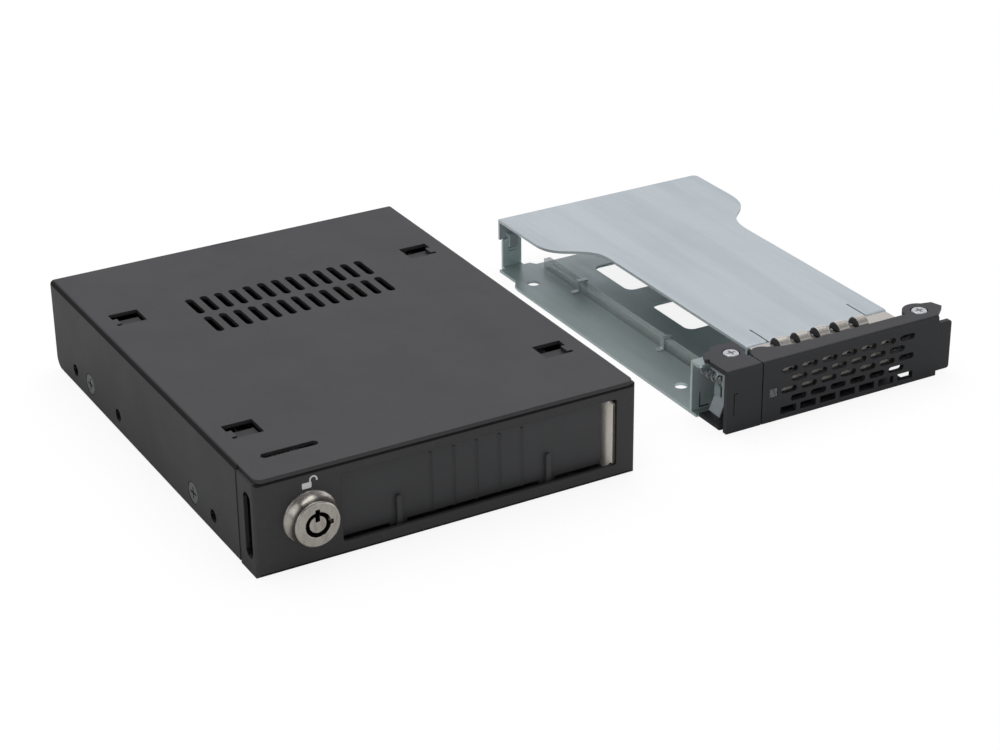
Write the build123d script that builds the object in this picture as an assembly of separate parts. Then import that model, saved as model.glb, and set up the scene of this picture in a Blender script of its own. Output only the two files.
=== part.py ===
from build123d import *
import os
from math import cos, pi, radians, sin, tan

# A mobile rack for one 2.5-inch drive: a cage that fills a 3.5-inch bay, and its tray,
# taken out and standing beside it. Millimetres, X to the right, Y to the back, Z up.
# Every piece is modelled from the bezel's front face and the floor, and is moved by half
# the cage's depth when it is written, which puts the origin at the middle of the base.

os.makedirs("parts", exist_ok=True)

# The drive's bottom hole pattern sets the tray, the bay and with them the cage
drive_width_pitch = 61.72
drive_length_pitch = 76.6
drive_hole_inset = 5.8
drive_hole_margin = 4.58
drive_hole_first = 28.1
drive_hole_radius = 1.8
behind_drive = 16.4
tray_clearance = 0.95

# Cage sheet metal
lock_side_width = 22.1
right_side_width = 5.5
head_room = 4.0
rear_wall_setback = 5.8
sheet = 1.0
cover_bend = 1.2
bezel_depth = 9.0
bezel_tail = 7.0
seam_gap = 0.15
lip_overhang = 0.3
lip_inset = 0.8
lip_corner = 2.0
side_lift = 0.6
rear_corner = 3.0
base_flange_drop = 6.4
fold_radius = 0.9

# Bay behind the front opening
bay_floor = 3.5
bay_height = 17.9
opening_corner = 0.8
rail_sheet = 0.6
rail_drop = 0.8
rail_gap = 0.3
right_rail_inset = 0.85
right_rail_front = 0.5
rail_end_gap = 9.3
shelf_width = 3.0
shelf_length = 10.0
shelf_pitch = 40.0
shelf_count = 3

# Openings in the cover
vent_length = 9.8
vent_width = 2.1
vent_pitch = 4.05
vent_count = 13
vent_row_middle = 87.4
vent_row_pitch = 12.2
light_slot_length = 14.4
light_slot_width = 2.2
light_slot_back = 9.9
hook_length = 7.2
hook_width = 7.8
hook_inset = 5.0
hook_front = 24.6
hook_pitch = 71.4
hook_finger = 1.3
rear_lug_width = 9.8
rear_vent_count = 10
rear_vent_length = 5.0
rear_vent_drop = 4.5

# Side holes and screws
side_hole_radius = 1.5
side_hole_height = 5.0
side_hole_first = 24.0
side_hole_steps = (0.0, 60.0, 90.0)
screw_height = 5.5
screw_first = 36.0
screw_step = 67.4
screw_head_radius = 2.7
screw_shank_radius = 1.4
screw_length = 4.0
running_gap = 0.05
flange_slot_width = 3.8
flange_slot_margin = 0.9
flange_slot_back = 3.7

# Lock
lock_bay_gap = 8.1
lock_front = 4.2
lock_base_radius = 6.9
lock_ring_radius = 5.75
lock_neck_radius = 5.2
lock_body_radius = 4.9
lock_body_length = 9.4
rotor_radius = 3.15
post_radius = 2.1
keyway_depth = 5.4
key_notch_width = 1.2
key_notch_reach = 3.9
nut_half_width = 6.0
nut_thickness = 2.0
cam_thickness = 1.2
cam_hub_radius = 4.2
cam_reach = 7.6
cam_width = 4.0
cam_square = 3.2

# Dust door
door_axis_back = 3.5
door_axis_drop = 2.0
door_thickness = 1.4
door_barrel_radius = 1.1
door_pin_radius = 0.75
door_end_gap = 0.4
door_right_gap = 2.7
door_bottom_lap = 0.1
door_ear_sheet = 0.8
grip_ridge_pitch = 6.15
grip_ridge_count = 5
grip_ridge_width = 1.0
grip_ridge_rise = 0.35
rib_spread = 40.4
rib_width = 1.4
rib_height = 7.2
rib_rise = 0.9
lug_width = 4.5
lug_drop = 0.8
spring_wire = 0.45
door_coil_turns = 3

# Backplane
board_thickness = 1.6
board_top_gap = 2.4
board_lift = 2.0
board_ear_height = 9.0
board_ear_half = 4.0
board_side_gap = 6.0
board_screw_lift = 5.0
board_screw_inset = 5.0
board_screw_head = 2.5
board_screw_head_height = 1.3
connector_width = 40.0
connector_height = 5.4
connector_depth = 6.4
connector_lift = 7.2
connector_wall = 3.0
power_slot_width = 12.5
slot_split = 2.5
slot_depth = 5.0
slot_low = 1.6
slot_high = 3.8
rear_port_gap = 0.3
data_port_width = 14.0
data_port_height = 6.4
power_port_width = 22.0
power_port_height = 5.6
port_lift = 9.0
data_port_offset = -14.0
power_port_offset = 10.0
port_wall = 1.0

# Tray: it stands beside the cage, as far back as it sits in the bay
tray_stand_off = 29.2
tray_back = 4.5
front_clearance = 0.15
tray_end_gap = 1.5
plate = 0.8
base_inset = 3.1
inner_inset = 1.8
corner_step = 2.2
corner_step_length = 12.0
window_width = 21.0
window_left = 26.4
window_length = 19.6
window_first = 55.4
window_pitch = 30.8
window_corner = 2.5
cover_drop = 3.2
neck_left = 16.3
neck_right_inset = 10.9
wing_left = 3.6
wing_right_inset = 0.1
wing_left_length = 22.6
wing_right_length = 25.1
left_wave_length = 21.0
right_wave_length = 12.0
cover_front = 13.7
lip_width = 6.5
lip_bend = 3.0
lip_slit = 0.5
lip_slit_length = 8.6
rear_tab_left = 4.1
rear_tab_width = 6.2
rear_tab_height = 9.3
post_back = 14.5
post_width = 7.0
post_gap = 0.2
post_shelf = 3.2

# Black front of the tray
front_wall = 1.5
front_fold = 0.9
front_top = 1.2
front_lift = 0.2
front_left = 0.9
seam_left = 11.5
seam_width = 0.3
lobe_radius = 3.3
tab_width = 4.4
tab_drop = 2.3
lever_tab_low = 1.4
top_depth = 5.3
handle_pivot_inset = 7.0
handle_pivot_y = 5.3
handle_boss_radius = 4.5
latch_pivot_x = 8.0
latch_pivot_y = 9.2
pivot_screw_radius = 1.5
pivot_head_radius = 2.1
pivot_head_height = 0.7
pivot_post_radius = 2.3
pivot_rib_drop = 5.8
carrier_floor = 1.0
carrier_front = 1.8
carrier_wall_back = 11.6
carrier_wall = 1.2
slot_first = 20.0
slot_end_gap = 7.66
slot_bridge = 1.34
slot_height = 1.7
slot_margin = 6.4
slot_row_low = 2.6
slot_columns = 7
slot_rows = 5
lens_left = 14.0
lens_low = 7.1
lens_size = 2.4

# Grounding fingers, light pipe and small springs
finger_count = 5
finger_pitch = 6.25
finger_first = 22.9
finger_width = 3.1
finger_sheet = 0.3
finger_front = 8.0
finger_margin = 0.4
strip_left = 16.5
strip_front = 5.5
strip_drop = 10.7
strip_hole_radius = 0.9
strip_hole_pitch = 3.1
strip_hole_rows = 3
pipe_middle = 14.9
pipe_width = 2.0
pipe_height = 3.0
pipe_inset = 5.5
pipe_end_gap = 0.4
clip_places = (49.0, 93.0)
clip_width = 1.6
latch_coil_radius = 1.0
latch_wire = 0.4
latch_coil_turns = 5
latch_coil_x = 3.0
latch_coil_drop = 5.4
latch_swing_room = 1.2
catch_sheet = 0.6

# Tray sizes that follow
tray_width = drive_hole_inset + drive_width_pitch + drive_hole_margin
front_height = bay_height - 2 * front_clearance
flange_low = front_height - front_top
cover_back = drive_hole_first + drive_length_pitch + behind_drive
base_back = cover_back - base_inset
inner_back = base_back - inner_inset
corner_step_back = base_back - corner_step_length
pipe_back = base_back - pipe_inset
cover_level = front_height - cover_drop
neck_right = tray_width - neck_right_inset
wing_right = tray_width - wing_right_inset
wing_left_back = cover_back - wing_left_length
wing_right_back = cover_back - wing_right_length
neck_left_back = wing_left_back - left_wave_length
neck_right_back = wing_right_back - right_wave_length
post_height = cover_level - post_gap
lever_tab_high = front_height - tab_drop
front_right = tray_width - tab_width
handle_pivot_x = tray_width - handle_pivot_inset
slot_pitch = (handle_pivot_x - slot_end_gap - slot_first) / (slot_columns - 1)
slot_length = slot_pitch - slot_bridge
slot_row_pitch = (front_height - slot_margin) / (slot_rows - 1)
strip_back = cover_front - finger_sheet
finger_back = strip_back - finger_margin
strip_right = handle_pivot_x - handle_boss_radius - 0.1
strip_top = cover_level + plate

# Cage sizes that follow
bay_width = tray_width + 2 * tray_clearance
cage_width = lock_side_width + bay_width + right_side_width
cage_height = bay_floor + bay_height + head_room
board_back = cover_back + tray_end_gap
cage_depth = board_back + rear_wall_setback
half_width = cage_width / 2
inner_half = half_width - sheet
under_cover = cage_height - sheet
bay_left = lock_side_width - half_width
bay_right = half_width - right_side_width
bay_middle = (bay_left + bay_right) / 2
bay_top = bay_floor + bay_height
lock_x = bay_left - lock_bay_gap
lock_height = bay_floor + bay_height / 2
base_flange_height = under_cover - base_flange_drop
flange_half = half_width - seam_gap
flange_slot_height = bay_height - flange_slot_margin
rail_top = bay_top - rail_drop
board_half_width = bay_width / 2 - board_side_gap
rail_back = board_back - rail_end_gap
door_axis_height = under_cover - door_axis_drop
door_bottom = bay_floor - door_bottom_lap
door_left = bay_left + door_end_gap
door_right = bay_right - door_right_gap
tray_x = half_width + tray_stand_off


def block(x0, x1, y0, y1, z0, z1):
    """A box between two corners."""
    return Pos((x0 + x1) / 2, (y0 + y1) / 2, (z0 + z1) / 2) * Box(x1 - x0, y1 - y0, z1 - z0)


def rod_x(x0, x1, y, z, radius):
    return Pos((x0 + x1) / 2, y, z) * Rot(0, 90, 0) * Cylinder(radius, x1 - x0)


def rod_y(x, y0, y1, z, radius):
    return Pos(x, (y0 + y1) / 2, z) * Rot(90, 0, 0) * Cylinder(radius, y1 - y0)


def rod_z(x, y, z0, z1, radius):
    return Pos(x, y, (z0 + z1) / 2) * Cylinder(radius, z1 - z0)


def cone_x(x_wide, x_narrow, y, z, wide, narrow):
    """A cone along X from its wide end to its narrow end."""
    turn = -90 if x_wide > x_narrow else 90
    length = abs(x_narrow - x_wide)
    return Pos((x_wide + x_narrow) / 2, y, z) * Rot(0, turn, 0) * Cone(wide, narrow, length)


def slot_up(length, width, height, x, y, z, turn=0):
    """A slot with round ends, cut along Z through a sheet whose top is at z."""
    return Pos(x, y, z - height) * extrude(Rot(0, 0, turn) * SlotOverall(length, width), height)


def slot_front(length, width, depth, x, y, z, turn=0):
    """A slot with round ends, cut along Y from y backwards."""
    flat = Plane.XZ * Rot(0, 0, turn) * SlotOverall(length, width)
    return Pos(x, y, z) * extrude(flat, -depth)


def slot_side(length, width, depth, x, y, z):
    """A slot that stands upright in a side wall, cut along X from x."""
    flat = Plane.YZ * Rot(0, 0, 90) * SlotOverall(length, width)
    return Pos(x, y, z) * extrude(flat, depth)


def flat_piece(points, z0, z1):
    """An outline in plan, drawn by its corners, between two levels."""
    return Pos(0, 0, z0) * extrude(make_face(Polyline(*points, close=True)), z1 - z0)


def side_piece(points, x0, x1):
    """An outline in the YZ plane, drawn by its corners, between two X places."""
    return Pos(x0, 0, 0) * extrude(Plane.YZ * make_face(Polyline(*points, close=True)), x1 - x0)


def upright_edges(part, x, y):
    """The edges along Z that stand at one place in plan."""
    return part.edges().filter_by(Axis.Z).filter_by(
        lambda edge: abs(edge.center().X - x) < 0.01 and abs(edge.center().Y - y) < 0.01
    )


def hook_places():
    """Each hook cut-out: its side, its outer edge and the middle of its length."""
    for side in (-1, 1):
        for step in (0, 1):
            yield side, half_width - hook_inset, hook_front + step * hook_pitch


def hook_cut(side, outer, middle):
    """A cut-out in the cover that leaves one finger on its outer edge."""
    y0 = middle - hook_length / 2
    y1 = middle + hook_length / 2
    low = under_cover - sheet
    high = cage_height + sheet
    cut = block(outer - hook_width, outer, y0, y1, low, high)
    cut -= block(outer - hook_finger, outer, y0 + 1.0, y0 + hook_length * 0.58, low, high)
    return cut if side > 0 else mirror(cut, Plane.YZ)


def side_screw_places():
    for side in (-1, 1):
        for step in (0, 1):
            yield side, screw_first + step * screw_step


def make_cover():
    """Top and both sides folded from one sheet, with a lip over the bezel."""
    front = bezel_depth + seam_gap
    outer = block(-half_width, half_width, front, cage_depth, side_lift, cage_height)
    top_edges = outer.edges().filter_by(Axis.Y).group_by(Axis.Z)[-1]
    outer = fillet(top_edges, cover_bend)
    inner = block(-inner_half, inner_half, front - 1, cage_depth + 1, 0, under_cover)
    top_edges = inner.edges().filter_by(Axis.Y).group_by(Axis.Z)[-1]
    inner = fillet(top_edges, max(cover_bend - sheet, 0.1))
    cover = outer - inner
    low_rear = cover.edges().filter_by(Axis.X).group_by(Axis.Z)[0].group_by(Axis.Y)[-1]
    cover = fillet(low_rear, rear_corner)
    lip_half = half_width - lip_inset
    lip = block(-lip_half, lip_half, -lip_overhang, front, under_cover, cage_height)
    for side in (-1, 1):
        lip = fillet(upright_edges(lip, side * lip_half, -lip_overhang), lip_corner)
    cover += lip
    for side, outer_edge, middle in hook_places():
        cover -= hook_cut(side, outer_edge, middle)
    for row in (-0.5, 0.5):
        y = vent_row_middle + row * vent_row_pitch
        for step in range(vent_count):
            x = (step - (vent_count - 1) / 2) * vent_pitch
            cover -= slot_up(vent_length, vent_width, 3 * sheet, x, y, cage_height + sheet, 90)
    cover -= slot_up(
        light_slot_length, light_slot_width, 3 * sheet, lock_x, light_slot_back, cage_height + sheet
    )
    notch = rear_lug_width / 2 + seam_gap
    cover -= block(-notch, notch, cage_depth - sheet, cage_depth + 1, under_cover - 1, cage_height + 1)
    for side in (-1, 1):
        for step in side_hole_steps:
            y = side_hole_first + step
            x0, x1 = sorted((side * (inner_half - 1), side * (half_width + 1)))
            cover -= rod_x(x0, x1, y, side_hole_height, side_hole_radius + 0.2)
    for side, y in side_screw_places():
        cover -= cone_x(
            side * half_width,
            side * inner_half,
            y,
            screw_height,
            screw_head_radius + 4 * running_gap,
            screw_shank_radius + 2 * running_gap,
        )
    return cover


def make_base():
    """Bottom, low side flanges with hook lugs, rear wall and two ears for the board."""
    front = bezel_depth + seam_gap
    rear = cage_depth - sheet
    wall = block(-inner_half, inner_half, rear, cage_depth, 0, under_cover)
    top_corners = wall.edges().filter_by(Axis.Y).group_by(Axis.Z)[-1]
    base = block(-inner_half, inner_half, front, cage_depth, 0, sheet) + fillet(top_corners, cover_bend)
    lug_half = rear_lug_width / 2
    base += block(-lug_half, lug_half, rear, cage_depth, sheet, cage_height)
    flange_front = bezel_depth + bezel_tail + 2 * seam_gap
    for side in (-1, 1):
        x0, x1 = sorted((side * (inner_half - sheet), side * inner_half))
        base += block(x0, x1, flange_front, rear, 0, base_flange_height)
    low_front = hook_length / 2 + 1
    for side, outer_edge, middle in hook_places():
        y0 = middle - low_front
        y1 = middle + hook_length * 0.15
        wall = block(inner_half - sheet, inner_half, y0, y1, sheet, under_cover - sheet)
        tongue = block(
            outer_edge - hook_width + 0.6, inner_half - 0.4, y0, y1, under_cover - sheet, under_cover
        )
        lug = wall + tongue
        base += lug if side > 0 else mirror(lug, Plane.YZ)
    for side in (-1, 1):
        for step in side_hole_steps:
            x0, x1 = sorted((side * (inner_half - 2 * sheet), side * (inner_half + 1)))
            base -= rod_x(x0, x1, side_hole_first + step, side_hole_height, side_hole_radius)
    for side, y in side_screw_places():
        x0, x1 = sorted((side * (inner_half - 2 * sheet), side * (inner_half + 1)))
        base -= rod_x(x0, x1, y, screw_height, screw_shank_radius + running_gap)
    for x in board_screw_places():
        ear_back = board_back + board_thickness
        base += block(
            x - board_ear_half, x + board_ear_half, ear_back, ear_back + sheet,
            0, board_lift + board_ear_height,
        )
        z = board_lift + board_screw_lift
        base -= rod_y(x, ear_back - 1, ear_back + 2, z, screw_shank_radius + running_gap)
    for x, width, height in rear_ports():
        gap = rear_port_gap
        base -= block(
            x - width / 2 - gap,
            x + width / 2 + gap,
            rear - 1,
            cage_depth + 1,
            port_lift - gap,
            port_lift + height + gap,
        )
    z = under_cover - rear_vent_drop
    for step in range(rear_vent_count):
        x = (step - (rear_vent_count - 1) / 2) * 2 * vent_pitch
        base -= slot_front(rear_vent_length, vent_width, 3 * sheet, x, rear - sheet, z, 90)
    return base


def board_screw_places():
    edge = board_half_width - board_screw_inset
    return (bay_middle - edge, bay_middle + edge)


def rear_ports():
    """Middle, width and height of the data and the power connector."""
    return (
        (bay_middle + data_port_offset, data_port_width, data_port_height),
        (bay_middle + power_port_offset, power_port_width, power_port_height),
    )


def make_bezel():
    """Front wall with a fold on all four sides and tails that slip under the cover."""
    bezel = block(-flange_half, flange_half, 0, bezel_depth, 0, under_cover)
    bezel = fillet(bezel.faces().sort_by(Axis.Y)[0].edges(), fold_radius)
    room = flange_half - sheet
    bezel -= block(-room, room, sheet, bezel_depth + 1, sheet, under_cover - sheet)
    top_back = door_axis_back - door_barrel_radius - 0.3
    bezel -= block(-room, room, top_back, bezel_depth + 1, under_cover - 2 * sheet, under_cover + 1)
    for side in (-1, 1):
        x0, x1 = sorted((side * (inner_half - sheet), side * inner_half))
        bezel += block(x0, x1, bezel_depth - sheet, bezel_depth + bezel_tail, 2.0, base_flange_height)
    opening = block(bay_left, bay_right, -1, sheet + 0.001, bay_floor, bay_top)
    opening = fillet(opening.edges().filter_by(Axis.Y), opening_corner)
    bezel -= opening
    bezel -= rod_y(lock_x, -1, sheet + 1, lock_height, lock_body_radius + 0.1)
    middle = (bay_floor + bay_top) / 2
    for start in (-flange_half - 1, room - 1):
        bezel -= slot_side(
            flange_slot_height, flange_slot_width, sheet + 2, start, flange_slot_back, middle
        )
    for x in (bay_left - door_ear_sheet - 0.2, bay_right + 0.2):
        ear = block(x, x + door_ear_sheet, sheet, door_axis_back + 2.6, rail_top + 0.6, under_cover - 0.3)
        bezel += ear
        bezel -= rod_x(x - 1, x + 2, door_axis_back, door_axis_height, door_pin_radius + running_gap)
    return bezel


def make_side_screw(side, y):
    """A countersunk screw that holds the cover on the base."""
    head = cone_x(
        side * (half_width - running_gap), side * inner_half, y, screw_height,
        screw_head_radius, screw_shank_radius,
    )
    x0, x1 = sorted((side * (half_width - screw_length), side * (inner_half + 0.01)))
    screw = head + rod_x(x0, x1, y, screw_height, screw_shank_radius)
    face = side * half_width
    x0, x1 = sorted((face - side * 0.6, face + side))
    screw -= block(x0, x1, y - 1.6, y + 1.6, screw_height - 0.3, screw_height + 0.3)
    screw -= block(x0, x1, y - 0.3, y + 0.3, screw_height - 1.6, screw_height + 1.6)
    return screw


def make_rail(side):
    """Upright rail beside the bay: foot on the base, and lanced shelves under the tray."""
    face = bay_left if side < 0 else bay_right - right_rail_inset
    outward = side * rail_sheet
    behind_wall = sheet + rail_gap
    front = behind_wall if side < 0 else right_rail_front
    back = rail_back
    foot = inner_half - sheet - rail_gap - bay_right + right_rail_inset
    x0, x1 = sorted((face, face + outward))
    rail = block(x0, x1, front, back, sheet, rail_top)
    nose = [(front - 1, rail_top + 1), (front - 1, rail_top - 1.1), (front, rail_top - 0.8)]
    nose += [(front + 2.1, rail_top - 0.15), (front + 2.2, rail_top + 1)]
    rail -= side_piece(nose, x0 - 1, x1 + 1)
    step = bay_floor + rail_gap
    nose = [(front - 1, 0), (front - 1, step), (behind_wall, step), (behind_wall + 2.3, sheet)]
    rail -= side_piece(nose, x0 - 1, x1 + 1)
    foot_front = bezel_depth + 2 * rail_gap
    f0, f1 = sorted((face, face + side * foot))
    rail += block(f0, f1, foot_front, back, sheet, sheet + rail_sheet)
    for step in range(shelf_count):
        y0 = foot_front + 2 + step * shelf_pitch
        y1 = y0 + shelf_length
        level = bay_floor - 0.1
        s0, s1 = sorted((face + outward, face - side * shelf_width))
        rail -= block(x0 - 1, x1 + 1, y0, y1, level, level + shelf_width)
        rail += block(s0, s1, y0, y1, level - rail_sheet, level)
    if side < 0:
        cam_front = lock_body_length + 0.2
        reach = cam_width / 2 + 0.6
        rail -= block(
            x0 - 1, x1 + 1, cam_front - 0.5, cam_front + cam_thickness + 0.5,
            lock_height - reach, lock_height + reach,
        )
    return rail


def make_door():
    """Flap that hangs from its barrel, with grip ridges and two ribs on its face."""
    face = door_axis_back - door_thickness / 2
    back = door_axis_back + door_thickness / 2
    door = block(door_left, door_right, face, back, door_bottom, door_axis_height)
    door += rod_x(door_left, door_right, door_axis_back, door_axis_height, door_barrel_radius)
    middle = (door_left + door_right) / 2
    ridge_top = door_axis_height - door_barrel_radius - 2.2
    for step in range(grip_ridge_count):
        x = middle + 0.9 + (step - (grip_ridge_count - 1) / 2) * grip_ridge_pitch
        points = [
            (x - grip_ridge_width / 2, face + 0.01),
            (x + grip_ridge_width / 2, face + 0.01),
            (x, face - grip_ridge_rise),
        ]
        door += flat_piece(points, door_bottom, ridge_top)
    for side in (-0.5, 0.5):
        x = middle + side * rib_spread
        x0 = x - lug_width / 2
        door += block(x0, x0 + lug_width, face, back, door_bottom - lug_drop, door_bottom + 0.01)
        rib_top = door_bottom + rib_height - rib_width / 2
        door += block(
            x - rib_width / 2, x + rib_width / 2, face - rib_rise, face + 0.01,
            door_bottom - lug_drop, rib_top,
        )
        door += rod_y(x, face - rib_rise, face + 0.01, rib_top, rib_width / 2)
    door -= rod_x(
        door_left - 1, door_right + 1, door_axis_back, door_axis_height, door_pin_radius + running_gap
    )
    return door


def make_door_pin():
    left = bay_left - door_ear_sheet - 0.2
    right = bay_right + door_ear_sheet + 0.2
    return rod_x(left, right, door_axis_back, door_axis_height, door_pin_radius)


def make_door_spring():
    """Torsion coil round the right end of the door's pin, with one leg up to the bezel."""
    radius = door_pin_radius + 0.15 + spring_wire / 2
    start = door_right + 0.35
    pitch = spring_wire + 0.03
    coil = Helix(pitch=pitch, height=door_coil_turns * pitch, radius=radius)
    section = Plane(origin=coil @ 0, z_dir=coil % 0) * Circle(spring_wire / 2)
    wound = Pos(start, door_axis_back, door_axis_height) * Rot(0, 90, 0) * sweep(section, coil)
    return wound


def make_lock_barrel():
    """Turned barrel: flared base, neck and front ring, with two index notches."""
    bore = rotor_radius + running_gap
    ring = lock_ring_radius
    neck = lock_neck_radius
    lines = Polyline(
        (bore, -lock_front),
        (ring - 0.3, -lock_front),
        (ring, -lock_front + 0.3),
        (ring, -lock_front + 0.9),
        (neck, -lock_front + 1.5),
    )
    flare = ThreePointArc(
        (neck, -lock_front + 1.5),
        ((neck + lock_base_radius) / 2 - 0.15, -1.0),
        (lock_base_radius, 0),
    )
    rest = Polyline(
        (lock_base_radius, 0),
        (lock_body_radius, 0),
        (lock_body_radius, lock_body_length - 0.4),
        (lock_body_radius - 0.4, lock_body_length),
        (bore, lock_body_length),
        (bore, -lock_front),
    )
    barrel = revolve(make_face(lines + flare + rest), Axis.Y)
    half = key_notch_width / 2
    barrel -= block(-half, half, -lock_front - 1, -lock_front + 2, 0, key_notch_reach)
    barrel -= block(0, key_notch_reach, -lock_front - 1, -lock_front + 2, -half, half)
    return Pos(lock_x, 0, lock_height) * barrel


def make_lock_nut():
    across = nut_half_width / cos(radians(30))
    flat = Plane.XZ * Rot(0, 0, 30) * RegularPolygon(across, 6)
    nut = Pos(0, sheet, 0) * extrude(flat, -nut_thickness)
    nut -= rod_y(0, 0, 2 * nut_thickness + sheet, 0, lock_body_radius + running_gap)
    return Pos(lock_x, 0, lock_height) * nut


def make_lock_rotor():
    """Centre post with its key slot, the rotor behind it and a square tail for the cam."""
    face = -lock_front + 0.2
    seat = -lock_front + keyway_depth
    rotor = rod_y(0, face, seat + 0.01, 0, post_radius)
    half = key_notch_width / 2
    rotor -= block(-half, half, face - 1, face + 1.8, 0.6, post_radius + 1)
    rotor += rod_y(0, seat, lock_body_length, 0, rotor_radius)
    square = cam_square / 2
    rotor += block(
        -square, square, lock_body_length - 0.1, lock_body_length + cam_thickness, -square, square
    )
    rotor -= rod_y(0, lock_body_length - 4, lock_body_length + 3, 0, 1.05)
    return Pos(lock_x, 0, lock_height) * rotor


def make_lock_cam():
    """Flat lever on the rotor's square, upright when the lock is open."""
    flat = Circle(cam_hub_radius)
    arm_length = cam_reach - cam_width / 2
    flat += Pos(0, arm_length / 2) * Rectangle(cam_width, arm_length)
    flat += Pos(0, arm_length) * Circle(cam_width / 2)
    flat -= Rectangle(cam_square + 0.05, cam_square + 0.05)
    cam = extrude(Plane.XZ * flat, -(cam_thickness - 0.1))
    return Pos(lock_x, lock_body_length + 0.2, lock_height) * cam


def make_cam_screw():
    seat = lock_body_length + cam_thickness + 0.15
    screw = rod_y(0, seat, seat + 1.2, 0, 2.6)
    screw = fillet(screw.edges().group_by(Axis.Y)[-1], 0.5)
    screw += rod_y(0, lock_body_length - 3.5, seat + 0.01, 0, 1.0)
    screw -= block(-0.3, 0.3, seat + 0.6, seat + 2, -1.5, 1.5)
    screw -= block(-1.5, 1.5, seat + 0.6, seat + 2, -0.3, 0.3)
    return Pos(lock_x, 0, lock_height) * screw


def make_board():
    top = under_cover - board_top_gap
    board = block(
        bay_middle - board_half_width, bay_middle + board_half_width,
        board_back, board_back + board_thickness, board_lift, top,
    )
    for x in board_screw_places():
        z = board_lift + board_screw_lift
        board -= rod_y(x, board_back - 1, board_back + board_thickness + 1, z, screw_shank_radius + 0.15)
    return board


def make_board_screws():
    screws = []
    for x in board_screw_places():
        z = board_lift + board_screw_lift
        face = board_back - board_screw_head_height
        screw = rod_y(x, face, board_back, z, board_screw_head)
        screw = fillet(screw.edges().group_by(Axis.Y)[0], 0.6)
        screw += rod_y(x, board_back - 0.01, board_back + board_thickness + sheet + 1.5, z, screw_shank_radius)
        screw -= block(x - 1.5, x + 1.5, face - 1, face + 0.6, z - 0.3, z + 0.3)
        screw -= block(x - 0.3, x + 0.3, face - 1, face + 0.6, z - 1.5, z + 1.5)
        screws.append(screw)
    return Compound(children=screws)


def make_drive_connector():
    """Receptacle that faces the drive, with one L-shaped slot for its two tongues."""
    x0 = bay_middle - connector_width / 2
    x1 = bay_middle + connector_width / 2
    front = board_back - connector_depth
    z0 = connector_lift
    body = block(x0, x1, front, board_back, z0, z0 + connector_height)
    body = chamfer(body.edges().filter_by(Axis.Z).group_by(Axis.Y)[0], 0.6)
    power_left = x1 - connector_wall - power_slot_width
    slots = ((x0 + connector_wall, power_left - slot_split), (power_left, x1 - connector_wall))
    for left, right in slots:
        body -= block(left, right, front - 1, front + slot_depth, z0 + slot_low, z0 + slot_high)
    return body


def make_board_light():
    """Small light on the board, in line with the rear end of the seated tray's pipe."""
    x = bay_left + tray_clearance + pipe_middle
    z = bay_floor + front_clearance + plate + pipe_height / 2
    light = block(x - 0.8, x + 0.8, board_back - 1.0, board_back, z - 0.6, z + 0.6)
    return chamfer(light.edges().group_by(Axis.Y)[0], 0.2)


def make_rear_port(place):
    """Cable socket on the back of the board, flush in the rear wall."""
    x, width, height = place
    front = board_back + board_thickness
    port = block(x - width / 2, x + width / 2, front, cage_depth - 0.2, port_lift, port_lift + height)
    room = width / 2 - port_wall
    port -= block(
        x - room, x + room, front + port_wall, cage_depth + 1,
        port_lift + port_wall, port_lift + height - port_wall,
    )
    tongue = port_lift + height / 2
    port += block(
        x - room + 1.6, x + room - 1.6, front + port_wall - 0.1, cage_depth - port_wall,
        tongue - 0.6, tongue + 0.6,
    )
    return port


def wave(x0, y0, x1, y1):
    """An S-shaped edge from one straight run to another, level with Y at both ends."""
    bend = abs(y1 - y0) * 0.62
    start = (x0, y0)
    end = (x1, y1)
    return Bezier(start, (x0, y0 - bend), (x1, y1 + bend), end)


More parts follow.
